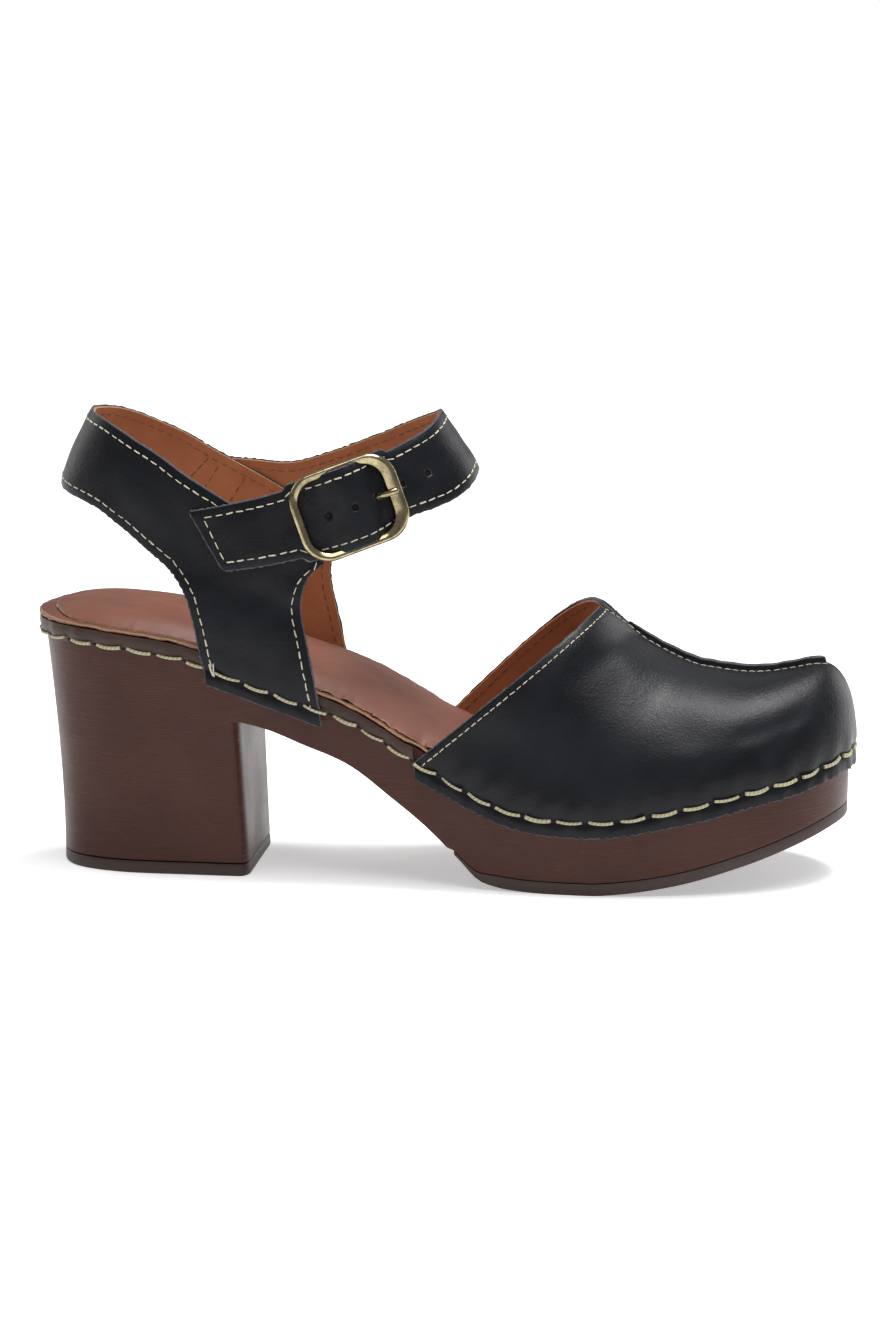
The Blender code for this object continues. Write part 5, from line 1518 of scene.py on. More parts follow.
    def build(self) -> bpy.types.Object:
        """Make the panels as one wall."""
        self.shape()
        skin = Surface("vamp_panels")
        wear = np.clip(sum(np.abs(c.push(self.outer)) for c in self.creases) * 0.25, 0.0, 0.3)
        near_seam = np.clip(1.0 - self.off / 1.5, 0.0, 1.0) * 0.5
        inner_ids, outer_ids = skin.add(self.inner), skin.add(self.outer, np.maximum(wear, near_seam))
        raw = (self.off[:-1, :-1] < 1.5) & (self.off[:-1, 1:] < 1.5)
        skin.quads(inner_ids, 1)
        skin.quads(outer_ids, np.where(raw, 2, 0))
        beyond = unit(self.inner[0] - self.inner[1]) * 0.2
        skin.edge(self.inner[0], self.outer[0], inner_ids[0], outer_ids[0], beyond, (1, 2), 0.35)
        for k, inside in ((0, 1), (-1, -2)):
            beyond = unit(self.inner[:, k] - self.inner[:, inside]) * 0.15
            skin.edge(self.inner[:, k], self.outer[:, k], inner_ids[:, k], outer_ids[:, k], beyond, (2, 2))
        f = self.finishes
        piece = skin.build(self.place, [f.black, f.lining, f.black_edge], 70.0)
        return enter(piece, ("vamp",))

    def topline(self, inset: float, faces: np.ndarray) -> tuple[np.ndarray, np.ndarray]:
        """Path at a distance from the topline on one of the faces, with outward directions."""
        columns = np.arange(7, faces.shape[1] - 7)
        columns = columns[(self.off[0, columns] > 2.3)]
        points, out = [], []
        for k in columns:
            lengths = arc(faces[:, k])
            points.append([np.interp(inset, lengths, faces[:, k, a]) for a in range(3)])
            out.append([np.interp(inset, lengths, self.normal[:, k, a]) for a in range(3)])
        return np.array(points), np.array(out)

    def seam_paths(self, distance: float = 2.45) -> list[tuple[np.ndarray, np.ndarray]]:
        """Paths at the foot of the standing seam on both sides, with outward directions."""
        made = []
        middle = self.outer.shape[1] // 2
        column_off = self.off[len(self.off) // 2, :middle]
        for k in (int(np.argmin(np.abs(column_off - distance))),):
            for number in (k, self.outer.shape[1] - 1 - k):
                made.append((self.outer[1:-2, number], self.normal[1:-2, number]))
        return made


def arc_rows(grid: np.ndarray) -> np.ndarray:
    """Length along the first axis of a grid up to each point."""
    steps = np.linalg.norm(np.diff(grid, axis=0), axis=-1)
    return np.concatenate([np.zeros((1, grid.shape[1])), np.cumsum(steps, axis=0)])


def inset_path(grid: np.ndarray, normal: np.ndarray, inset: float, last_edge: bool) -> tuple[np.ndarray, np.ndarray]:
    """Path along a band at a distance from one of its long edges.

    Args:
        grid: the band's points, rows along it.
        normal: outward directions at the points.
        inset: distance from the edge.
        last_edge: whether to measure from the last column.

    Returns:
        The path's points and outward directions.
    """
    if last_edge:
        grid, normal = grid[:, ::-1], normal[:, ::-1]
    points, out = [], []
    for row, directions in zip(grid, normal):
        lengths = arc(row)
        points.append([np.interp(inset, lengths, row[:, a]) for a in range(3)])
        out.append([np.interp(inset, lengths, directions[:, a]) for a in range(3)])
    return np.array(points), np.array(out)


@dataclass
class Quarter:
    """Both quarter panels and the heel strap, one band from sole to sole."""

    last: Last
    place: Place
    finishes: Finishes
    back_steps: int = 76
    side_steps: int = 44
    across: int = 24
    creases: tuple[Crease, ...] = (
        Crease(Side.LATERAL, (22.0, 130.0), (38.0, 108.0), 5.0, 0.5, 2.0),
        Crease(Side.LATERAL, (44.0, 116.0), (50.0, 96.0), 3.0, -0.35, 1.5),
        Crease(Side.LATERAL, (52.0, 96.0), (60.0, 72.0), 5.0, 0.5, -2.0),
        Crease(Side.LATERAL, (66.0, 92.0), (84.0, 80.0), 4.0, -0.4, 2.0),
        Crease(Side.LATERAL, (60.0, 82.0), (80.0, 70.0), 6.0, 0.4, 2.0),
        Crease(Side.MEDIAL, (24.0, 128.0), (40.0, 108.0), 5.0, 0.5, 2.0),
        Crease(Side.MEDIAL, (54.0, 96.0), (62.0, 74.0), 5.0, 0.45, -2.0),
        Crease(Side.MEDIAL, (66.0, 90.0), (82.0, 78.0), 4.0, -0.35, 2.0),
    )
    outer: np.ndarray = field(default=None, init=False)
    inner: np.ndarray = field(default=None, init=False)
    normal: np.ndarray = field(default=None, init=False)

    def half(self) -> tuple[np.ndarray, np.ndarray]:
        """Angles and heights of one half's grid, from the heel back down to the sole."""
        last = self.last
        ends = []
        for x_name, z_name in (("upper_station", "upper_height"), ("lower_station", "lower_height")):
            x = column(QUARTER_SECTIONS, QUARTER_COLUMNS, x_name) * last.length
            z = column(QUARTER_SECTIONS, QUARTER_COLUMNS, z_name) * last.ankle_height
            z[-1] = last.stitch_height(x[-1]) - last.margin
            angle = last.leg_angle(x, z)
            angle[0] = math.pi
            ends.append((angle, z))
        rows = np.arange(len(QUARTER_SECTIONS), dtype=float)
        at = np.concatenate([
            np.linspace(0, QUARTER_CORNER, self.back_steps + 1),
            np.linspace(QUARTER_CORNER, len(rows) - 1, self.side_steps + 1)[1:],
        ])
        grids = []
        for angle, z in ends:
            pair = []
            for values in (angle, z):
                first = smooth(rows[:QUARTER_CORNER + 1], values[:QUARTER_CORNER + 1], at[at <= QUARTER_CORNER])
                rest = smooth(rows[QUARTER_CORNER:], values[QUARTER_CORNER:], at[at > QUARTER_CORNER])
                pair.append(np.concatenate([first, rest]))
            grids.append(pair)
        share = np.linspace(0, 1, self.across + 1)
        share = (share + 0.5 - 0.5 * np.cos(share * math.pi))[None, :] / 2
        (upper_angle, upper_z), (lower_angle, lower_z) = grids
        angle = upper_angle[:, None] * (1 - share) + lower_angle[:, None] * share
        return angle, upper_z[:, None] * (1 - share) + lower_z[:, None] * share

    def shape(self) -> None:
        """Work out the band's inner and outer faces."""
        last = self.last
        angle, z = self.half()
        side = np.ones_like(angle)
        lateral = last.leg_point(angle, z, -side)[::-1]
        medial = last.leg_point(angle, z, side)[1:]
        self.inner = np.concatenate([lateral, medial])
        normal = grid_normals(self.inner)
        self.normal = -normal if normal[0, 2, 1] > 0 else normal
        outer = self.inner + self.normal * last.upper_wall
        push = sum(crease.push(outer) for crease in self.creases)
        sign = np.where(self.inner[..., 1] < 0, -1.0, 1.0)
        places = 1.0 + sign * turn_of(np.clip(self.inner[..., 0] / last.length, 0, 1))
        rise = self.inner[..., 2] - last.stitch_height(self.inner[..., 0])
        sewn = np.where(rise < 14.0, last.pull(places, rise), 0.0)
        body = 0.1 * ripple(self.inner[..., 0] / 26, self.inner[..., 2] / 18, seed=41)
        below = np.clip(-rise / last.margin, 0.0, 1.0)
        flare = below * (0.15 + 0.25 * ripple(last.stitch_phase(places) / 0.5, seed=42))
        lengths = arc_rows(self.inner.swapaxes(0, 1)).swapaxes(0, 1)
        near = np.minimum(lengths, lengths[:, -1:] - lengths)
        soft = ease(near / 2.0)
        self.outer = outer + self.normal * (push * soft + sewn + flare + body * soft - 0.18 * (1 - soft))[..., None]

    def build(self) -> bpy.types.Object:
        """Make the band."""
        self.shape()
        skin = Surface("quarter_panels")
        wear = np.clip(sum(np.abs(c.push(self.outer)) for c in self.creases) * 0.25, 0.0, 0.25)
        inner_ids, outer_ids = skin.add(self.inner), skin.add(self.outer, wear)
        skin.quads(inner_ids, 1)
        skin.quads(outer_ids, 0)
        for k, inside in ((0, 1), (-1, -2)):
            beyond = unit(self.inner[:, k] - self.inner[:, inside]) * 0.2
            skin.edge(self.inner[:, k], self.outer[:, k], inner_ids[:, k], outer_ids[:, k], beyond, (3, 2))
            beyond = unit(self.inner[k] - self.inner[inside]) * 0.2
            skin.edge(self.inner[k], self.outer[k], inner_ids[k], outer_ids[k], beyond, (3, 2))
        f = self.finishes
        piece = skin.build(self.place, [f.black, f.lining, f.black_edge, f.tan_edge], 70.0)
        return enter(piece, ("quarter_straps",))


@dataclass
class AnkleStrap:
    """Ankle strap with punched holes, from its sewn start on the medial side to its tail."""

    last: Last
    place: Place
    finishes: Finishes
    holes: tuple[int, ...] = (-2, -1, 0, 1, 2)
    hole: float = 2.2
    hole_pitch: float = 9.0
    squeeze: float = 1.6
    steps: int = 230
    across: int = 14
    creases: tuple[Crease, ...] = (
        Crease(Side.LATERAL, (98.0, 118.0), (96.0, 108.0), 2.2, -0.3, 0.0),
        Crease(Side.LATERAL, (103.0, 122.0), (106.0, 112.0), 3.0, 0.25, 0.0),
        Crease(Side.LATERAL, (66.0, 116.0), (72.0, 98.0), 4.0, 0.25, 1.0),
        Crease(Side.LATERAL, (78.0, 118.0), (84.0, 101.0), 4.0, -0.2, 1.0),
    )
    outer: np.ndarray = field(default=None, init=False)
    inner: np.ndarray = field(default=None, init=False)
    normal: np.ndarray = field(default=None, init=False)
    hole_row: StitchRow = field(default=None, init=False)

    def grid(self, steps: int, across: int) -> tuple[np.ndarray, np.ndarray]:
        """Inner points of the strap and their outward directions."""
        last = self.last
        rows = np.arange(len(STRAP_SECTIONS), dtype=float)
        side = column(STRAP_SECTIONS, STRAP_COLUMNS, "side")
        at = np.linspace(0, len(rows) - 1, steps + 1)
        lift = smooth(rows, column(STRAP_SECTIONS, STRAP_COLUMNS, "lift"), at) * last.upper_wall
        edges = []
        for x_name, z_name in (("upper_station", "upper_height"), ("lower_station", "lower_height")):
            x = column(STRAP_SECTIONS, STRAP_COLUMNS, x_name) * last.length
            z = column(STRAP_SECTIONS, STRAP_COLUMNS, z_name) * last.ankle_height
            edges.append((smooth(rows, side * last.leg_angle(x, z), at), smooth(rows, z, at)))
        share = np.linspace(0, 1, across + 1)[None, :]
        angle = edges[0][0][:, None] * (1 - share) + edges[1][0][:, None] * share
        z = edges[0][1][:, None] * (1 - share) + edges[1][1][:, None] * share
        base = last.leg_point(np.abs(angle), z, np.where(angle < 0, -1.0, 1.0))
        normal = grid_normals(base)
        normal = -normal if normal[0, 1, 1] < 0 else normal
        return base + normal * lift[:, None, None], normal

    def build(self, buckle: "BuckleSeat") -> bpy.types.Object:
        """Make the strap and punch its holes."""
        last = self.last
        self.inner, self.normal = self.grid(self.steps, self.across)
        self.fill_window(buckle)
        outer = self.inner + self.normal * last.upper_wall
        push = sum(crease.push(outer) for crease in self.creases)
        across = np.linspace(-1, 1, self.across + 1)[None, :]
        soft = 1.0 - across ** 8
        body = 0.08 * ripple(self.inner[..., 0] / 18, self.inner[..., 2] / 14, seed=51)
        self.outer = outer + self.normal * (push * soft + body * soft - 0.2 * (1 - soft))[..., None]
        skin = Surface("ankle_strap")
        inner_ids, outer_ids = skin.add(self.inner), skin.add(self.outer)
        skin.quads(inner_ids, 1)
        skin.quads(outer_ids, 0)
        for k, inside in ((0, 1), (-1, -2)):
            beyond = unit(self.inner[:, k] - self.inner[:, inside]) * 0.2
            skin.edge(self.inner[:, k], self.outer[:, k], inner_ids[:, k], outer_ids[:, k], beyond, (3, 2))
            beyond = unit(self.inner[k] - self.inner[inside]) * 0.2
            skin.edge(self.inner[k], self.outer[k], inner_ids[k], outer_ids[k], beyond, (3, 2))
        f = self.finishes
        piece = skin.build(self.place, [f.black, f.lining, f.black_edge, f.tan_edge], 70.0)
        axes = self.hole_axes(buckle)
        for number, (ends, radius) in enumerate(axes):
            self.punch(piece, ends, radius, number)
        plain = np.array([ends for (ends, _), k in zip(axes, self.holes) if k])
        out = unit(plain[:, 1] - plain[:, 0])
        along = unit(np.cross(out, (0.0, 0.0, 1.0)))
        self.hole_row = StitchRow(plain.mean(axis=1), along, out)
        return enter(piece, ("quarter_straps",))

    def fill_window(self, buckle: "BuckleSeat") -> None:
        """Press the strap's edges out until they fill the buckle's window."""
        local = buckle.local(self.inner[:, self.across // 2])
        inside = ease((buckle.length / 2 - np.abs(local[:, 0])) / 2.0) * (np.abs(local[:, 2]) < 12.0)
        spread = unit(self.inner[:, -1] - self.inner[:, 0])
        share = np.linspace(-1, 1, self.across + 1)
        self.inner = self.inner + spread[:, None] * (inside[:, None] * share[None, :])[..., None] * self.squeeze

    def hole_axes(self, buckle: "BuckleSeat") -> list[tuple[np.ndarray, float]]:
        """Axis ends and radius of each hole: one along the prong, the others straight through."""
        middle = self.inner[:, self.across // 2] + self.normal[:, self.across // 2] * self.last.upper_wall / 2
        lengths = arc(middle)
        local = buckle.local(middle)
        off = np.where(np.abs(local[:, 2]) < 12.0, 0.0, 1e6)
        first = int(np.argmin(np.abs(local[:, 0] - buckle.prong_hole) + off))
        made = []
        for k in self.holes:
            if k == 0:
                through = buckle.prong_path()[[11, 13]]
                ends = buckle.world(through[:, 0], np.zeros(2), through[:, 1])
                made.append((ends, buckle.prong_radius + 0.5))
                continue
            at = lengths[first] + k * self.hole_pitch
            centre = np.array([np.interp(at, lengths, middle[:, a]) for a in range(3)])
            directions = self.normal[:, self.across // 2]
            axis = unit(np.array([np.interp(at, lengths, directions[:, a]) for a in range(3)]))
            reach = axis * self.last.upper_wall * 1.6
            made.append((np.array([centre - reach, centre + reach]), self.hole / 2))
        return made

    def punch(self, piece: bpy.types.Object, ends: np.ndarray, radius: float, number: int) -> None:
        """Cut one hole through the strap."""
        cutter = Surface(f"punch_{number}")
        ids = cutter.add(tube_rings(ends, np.full(2, radius), np.full(2, radius), 20))
        cutter.quads(ids.T, close=True)
        cutter.cap(ids[0])
        cutter.cap(ids[-1])
        tool = cutter.build(self.place, [self.finishes.black_edge])
        cut = piece.modifiers.new("hole", "BOOLEAN")
        cut.object = tool
        cut.operation = "DIFFERENCE"
        cut.solver = "EXACT"
        settle(piece)
        bpy.data.objects.remove(tool)


def tube_rings(path: np.ndarray, half_out: np.ndarray, half_side: np.ndarray, sides: int,
               side_axis: np.ndarray | None = None) -> np.ndarray:
    """Rings of an oval tube along a path.

    Args:
        path: the centre line.
        half_out: half thickness at each point.
        half_side: half width at each point.
        sides: points in a ring.
        side_axis: direction of the width; found from the path where it is not given.

    Returns:
        The rings' points.
    """
    tangent = unit(np.gradient(path, axis=0))
    if side_axis is None:
        side_axis = unit(np.cross(tangent[0], (0.0, 0.0, 1.0)))
    normal = unit(np.cross(side_axis, tangent))
    angles = np.arange(sides) * 2 * math.pi / sides
    out = np.cos(angles)[None, :] * np.asarray(half_out)[:, None]
    wide = np.sin(angles)[None, :] * np.asarray(half_side)[:, None]
    return path[:, None] + normal[:, None] * out[..., None] + side_axis * wide[..., None]


class BuckleSeat:
    """Local axes of the buckle: along the strap, across it and outward, seated on the strap's outer face."""

    length = 34.5
    width = 27.5
    corner = 8.8
    depth = 2.2
    station = 0.4005
    level = 0.8235
    tilt = 19.5
    bar_side = 2.6
    bar_front = 4.6
    bar_rear = 3.0
    bar_radius = 1.2
    prong_radius = 0.9
    prong_width = 2.0
    prong_eye = 0.4
    prong_hole = 9.5
    prong_slope = 33.0
    tab_wall = 1.0
    tab_width = 13.0

    def __init__(self, strap: AnkleStrap) -> None:
        self.last = strap.last
        inner, normal = strap.grid(56, 3)
        outer = inner + normal * self.last.upper_wall
        centre = self.on_strap(outer, 0.0)
        reach = self.length / 2
        rear = self.on_strap(outer, -(reach - self.bar_rear / 2))
        front = self.on_strap(outer, reach - self.bar_front / 2)
        self.along = unit(front - rear)
        width = outer[:, 0] - outer[:, -1]
        nearest = np.argmin(np.linalg.norm(outer[:, outer.shape[1] // 2] - centre, axis=-1))
        self.across = unit(width[nearest] - self.along * np.dot(width[nearest], self.along))
        out = np.cross(self.across, self.along)
        self.out = -out if out[1] > 0 else out
        self.origin = rear + self.along * np.dot(centre - rear, self.along)
        local = self.local(outer.reshape(-1, 3))
        corners = (np.abs(local[:, 0]) > reach - self.bar_front - 1.8) & (np.abs(local[:, 0]) < reach + 1.0)
        self.seat = local[corners & (np.abs(local[:, 2]) < 8.0), 2].max() + self.last.clearance
        under = self.local(inner.reshape(-1, 3))
        above = (np.abs(under[:, 0]) < 4.0) & (np.abs(under[:, 1]) < self.tab_width / 2)
        lowest = under[above & (np.abs(under[:, 2]) < 8.0), 2].min()
        self.bar = lowest - 2 * self.last.clearance - self.tab_wall - self.bar_radius

    def on_strap(self, outer: np.ndarray, shift: float) -> np.ndarray:
        """Point of the strap's outer face at a distance from the buckle's middle, in side view."""
        turn = math.radians(self.tilt)
        x = self.station * self.last.length + shift * math.cos(turn)
        z = self.level * self.last.ankle_height + shift * math.sin(turn)
        gap = np.hypot(outer[..., 0] - x, outer[..., 2] - z) + np.where(outer[..., 1] < 0, 0.0, 1e6)
        near = np.argsort(gap, axis=None)[:4]
        weight = 1.0 / (gap.reshape(-1)[near] + 0.05)
        point = (outer.reshape(-1, 3)[near] * weight[:, None]).sum(0) / weight.sum()
        return np.array([x, point[1], z])

    def local(self, points: np.ndarray) -> np.ndarray:
        """Local coordinates of points."""
        return (points - self.origin) @ np.stack([self.along, self.across, self.out], 1)

    def world(self, along: np.ndarray, across: np.ndarray, out: np.ndarray) -> np.ndarray:
        """Points from local coordinates."""
        along, across, out = np.broadcast_arrays(along, across, out)
        return (self.origin + along[..., None] * self.along + across[..., None] * self.across
                + out[..., None] * self.out)

    def prong_path(self) -> np.ndarray:
        """Centre line of the prong in the buckle's middle plane: its eye, its shank and its tip."""
        radius = self.bar_radius + self.last.clearance + self.prong_eye
        angles = np.radians(np.linspace(60.0, 300.0, 9))
        eye = np.stack([radius * np.cos(angles), self.bar + radius * np.sin(angles)], -1)
        tip_level = self.seat + self.depth + 0.2 + self.prong_radius
        tip_start = self.length / 2 - self.bar_front + 0.6
        slope = math.tan(math.radians(self.prong_slope))
        low = tip_level - slope * (tip_start - self.prong_hole + 2.0)
        shank = np.array([
            (radius + 1.4, self.bar - radius * 0.55), (self.prong_hole - 3.4, low),
            (self.prong_hole - 2.0, low + 0.1),
            (self.prong_hole, tip_level - slope * (tip_start - self.prong_hole)), (tip_start, tip_level),
            (tip_start + 1.2, tip_level + 0.1), (tip_start + 2.6, tip_level),
        ])
        return np.vstack([eye, shank])


@dataclass
class Buckle:
    """Cast frame with its centre bar, the prong and the leather loop."""

    seat: BuckleSeat
    place: Place
    finishes: Finishes

    @staticmethod
    def rounded_rectangle(length: float, width: float, corner: float, steps: int = 12) -> np.ndarray:
        """Loop of points round a rectangle with round corners."""
        points = []
        for quarter in range(4):
            cx = (length / 2 - corner) * (1, -1, -1, 1)[quarter]
            cy = (width / 2 - corner) * (1, 1, -1, -1)[quarter]
            for k in range(steps + 1):
                angle = math.pi / 2 * (quarter + k / steps)
                points.append((cx + corner * math.cos(angle), cy + corner * math.sin(angle)))
        return np.array(points)

    def frame(self) -> bpy.types.Object:
        """Cast frame: a rounded outer edge and a face that slopes to the window."""
        s = self.seat
        outer = self.rounded_rectangle(s.length, s.width, s.corner)
        window = self.rounded_rectangle(
            s.length - s.bar_front - s.bar_rear, s.width - 2 * s.bar_side, s.corner - s.bar_side)
        window[:, 0] += (s.bar_rear - s.bar_front) / 2
        profile = (
            (0.10, 0.0), (0.02, 0.2), (0.0, 0.75), (0.03, 1.45), (0.12, 1.95), (0.26, 2.2), (0.42, 2.2),
            (0.72, 1.75), (0.90, 1.4), (0.98, 1.1), (1.0, 0.7), (0.98, 0.2), (0.90, 0.0),
        )
        rows = []
        for share, level in profile:
            flat = outer * (1 - share) + window * share
            rows.append(s.world(flat[:, 0], flat[:, 1], np.full(len(flat), s.seat + level)))
        skin = Surface("brass_frame")
        ids = skin.add(np.array(rows))
        skin.quads(np.vstack([ids, ids[:1]]).T, close=True)
        reach = s.width / 2 - s.bar_side / 2
        arm = reach - s.bar_side / 2
        level = s.seat + s.depth / 2
        at = np.array([-reach, -arm, -arm + 1.0, 0.0, arm - 1.0, arm, reach])
        path = s.world(0.0, at, np.array([level, s.bar + 0.4, s.bar, s.bar, s.bar, s.bar + 0.4, level]))
        rings = tube_rings(path, np.full(7, s.bar_radius), np.full(7, s.bar_radius), 16, s.along)
        ids = skin.add(rings)
        skin.quads(ids.T, close=True)
        skin.cap(ids[0])
        skin.cap(ids[-1])
        piece = skin.build(self.place, [self.finishes.brass], 50.0)
        return enter(piece, ("buckle_frame",))

    def prong(self) -> bpy.types.Object:
        """Prong round the centre bar, through a strap hole and onto the frame."""
        s = self.seat
        flat = s.prong_path()
        lengths = arc(flat)
        at = np.linspace(0, lengths[-1], 60)
        thick = np.full(len(flat), s.prong_radius)
        thick[:9] = s.prong_eye
        thick[9] *= 0.8
        thick[-1] *= 0.6
        wide = np.full(len(flat), s.prong_width / 2)
        wide[-1] *= 0.75
        path = np.stack([smooth(lengths, flat[:, 0], at), smooth(lengths, flat[:, 1], at)], -1)
        thick, wide = smooth(lengths, thick, at), smooth(lengths, wide, at)
        back = lengths[-1] - at
        round_end = np.sqrt(np.clip(back / 0.7, 0.04, 1.0))
        score = 1.0 - 0.12 * np.exp(-(((back - 2.4) / 0.18) ** 2)) - 0.12 * np.exp(-(((back - 1.7) / 0.18) ** 2))
        points = s.world(path[:, 0], np.zeros(len(path)), path[:, 1])
        rings = tube_rings(points, thick * round_end * score, wide * round_end, 16, s.across)
        skin = Surface("brass_prong")
        ids = skin.add(rings)
        skin.quads(ids.T, close=True)
        skin.cap(ids[0])
        skin.cap(ids[-1])
        piece = skin.build(self.place, [self.finishes.brass], 50.0)
        return enter(piece, ("buckle_prong",))

    def tab(self) -> bpy.types.Object:
        """Dress the leather loop that holds the buckle; its solid already has the right form."""
        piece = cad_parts["buckle_tab"]
        for slot in piece.material_slots:
            slot.material = self.finishes.black
        return piece


@dataclass
class Stitching:
    """All the rows of stitches, and dark ovals of painted shade for the holes that they pull open."""

    last: Last
    place: Place
    finishes: Finishes
    welt: StitchKind = StitchKind(8.8, 7.65, 0.5, 1.0, -0.75, 0.09)
    seam: StitchKind = StitchKind(3.3, 2.35, 0.19, 0.36, 0.0, 0.06)
    fine: StitchKind = StitchKind(2.55, 1.8, 0.16, 0.3, 0.0, 0.06)
    inset: float = 2.5
    below_welt: float = 2.4
    tack: StitchKind = StitchKind(1.0, 4.4, 0.22, 0.9, 0.0, 0.04)
    start_seams: tuple = (((46.5, 122.0), (38.5, 113.5)), ((49.5, 119.5), (42.0, 108.0)), ((58.0, 116.0), (50.0, 104.0)))

    def welt_rows(self) -> tuple[StitchRow, StitchRow]:
        """Big stitches all round the sole, and the places between them where dark ovals of painted shade stand for
        their holes.
        """
        last = self.last
        rows = []
        for offset in (0.0, 0.5):
            r = last.stitch_turns() if offset == 0.0 else self.between(last.stitch_turns())
            x = last.outline(r)[:, 0]
            station = x / last.length
            upper = (station > last.vamp_start - 0.004) | self.on_quarter(x)
            step = np.where(self.on_quarter(x), last.rand_out + last.clearance + last.upper_wall, last.rand_out)
            step = np.where(station > last.vamp_start - 0.004, last.clearance + last.upper_wall, step)
            pulled = last.pull(r, np.zeros(len(r))) * np.where(upper, 1.0, 0.9)
            out = step + pulled + (0.1 if offset == 0.0 else 0.05)
            points = last.wall_point(r, last.stitch_height(x), out)
            ahead = last.wall_point(r - 0.004, last.stitch_height(last.outline(r - 0.004)[:, 0]), out)
            behind = last.wall_point(r + 0.004, last.stitch_height(last.outline(r + 0.004)[:, 0]), out)
            along = unit(ahead - behind)
            plan = last.outline_normal(r)
            normal = np.concatenate([plan, np.zeros((len(r), 1))], -1)
            rows.append(StitchRow(points, along, unit(normal)))
        return rows[0], rows[1]

    @staticmethod
    def between(turns: np.ndarray) -> np.ndarray:
        """Places half way between stitches."""
        following = np.append(turns[1:], 2.0)
        return (turns + following) / 2

    def on_quarter(self, x: np.ndarray) -> np.ndarray:
        """Whether a place along the sole lies under a quarter."""
        rear, front = QUARTER_SECTIONS[-1, 2] * self.last.length, QUARTER_SECTIONS[-1, 0] * self.last.length
        return (x > rear + 0.5) & (x < front - 0.5)

    def upper_rows(self, quarter: Quarter, strap: AnkleStrap) -> list[StitchRow]:
        """Fine rows along the edges of the quarters and the strap."""
        rows = []
        for last_edge in (False, True):
            path, out = inset_path(quarter.outer, quarter.normal, self.inset, last_edge)
            shown = path[:, 2] > self.last.stitch_height(path[:, 0]) - self.below_welt
            rows.append(StitchRow.spaced(path[shown], out[shown], self.seam.pitch))
        rows.extend(self.strap_rows(strap, self.seam.pitch))
        return rows

    def vamp_rows(self, vamp: Vamp) -> list[StitchRow]:
        """Finer rows along the vamp's topline and beside its standing seam."""
        pitch = self.fine.pitch
        path, out = vamp.topline(2.2, vamp.outer)
        half = len(path) // 2
        rows = [StitchRow.spaced(path[:half], out[:half], pitch), StitchRow.spaced(path[half:], out[half:], pitch)]
        for path, out in vamp.seam_paths():
            rows.append(StitchRow.spaced(path, out, pitch))
        return rows

    def back_tacks(self, quarter: Quarter) -> StitchRow:
        """Doubled stitches that lock the quarter's lower rear corners across the welt."""
        path, out = inset_path(quarter.outer, quarter.normal, self.inset, True)
        along = unit(np.gradient(path, axis=0))
        over = np.abs(path[:, 2] - self.last.stitch_height(path[:, 0]) - 0.4)
        half = len(path) // 2
        ends = (int(np.argmin(over[:half])), half + int(np.argmin(over[half:])))
        spots = [(k, shift) for k in ends for shift in (-0.4, 0.35)]
        aside = unit(np.cross(out, along))
        points = np.array([path[k] + aside[k] * shift + out[k] * 0.5 for k, shift in spots])
        tilt = np.array([unit(along[k] + aside[k] * shift * 0.3) for k, shift in spots])
        return StitchRow(points, tilt, np.array([out[k] for k, _ in spots]))

    def strap_rows(self, strap: AnkleStrap, pitch: float) -> list[StitchRow]:
        """Rows along both edges of the strap and across its tail and its sewn start."""
        rows = []
        ends = arc_rows(strap.outer)
        inset = self.inset
        keep = slice(*self.trimmed(ends[:, strap.across // 2], inset))
        for last_edge in (False, True):
            path, out = inset_path(strap.outer, strap.normal, inset, last_edge)
            rows.append(StitchRow.spaced(path[keep], out[keep], pitch))
        for number in (keep.start, keep.stop - 1):
            line, out = strap.outer[number], strap.normal[number]
            lengths = arc(line)
            inside = (lengths > inset) & (lengths < lengths[-1] - inset)
            rows.append(StitchRow.spaced(line[inside], out[inside], pitch))
        return rows

    @staticmethod
    def trimmed(lengths: np.ndarray, inset: float) -> tuple[int, int]:
        """First and last row that lie a distance inside both ends."""
        inside = np.nonzero((lengths > inset) & (lengths < lengths[-1] - inset))[0]
        return int(inside[0]), int(inside[-1]) + 1

    def lining_rows(self, vamp: Vamp, quarter: Quarter, strap: AnkleStrap) -> list[StitchRow]:
        """The same rows where they come out on the lining."""
        pitch = self.seam.pitch
        rows = []
        path, out = vamp.topline(2.3, vamp.inner)
        rows.append(StitchRow.spaced(path, -out, pitch))
        for last_edge in (False, True):
            path, out = inset_path(quarter.inner, quarter.normal, self.inset, last_edge)
            rows.append(StitchRow.spaced(path, -out, pitch))
            path, out = inset_path(strap.inner, strap.normal, self.inset, last_edge)
            rows.append(StitchRow.spaced(path, -out, pitch))
        for start, end in self.start_seams:
            x, z = np.linspace(start[0], end[0], 12), np.linspace(start[1], end[1], 12)
            path = self.last.leg_point(self.last.leg_angle(x, z), z, Side.MEDIAL.value)
            rows.append(StitchRow.spaced(path, np.tile((0.0, -1.0, 0.0), (12, 1)), pitch))
        return rows

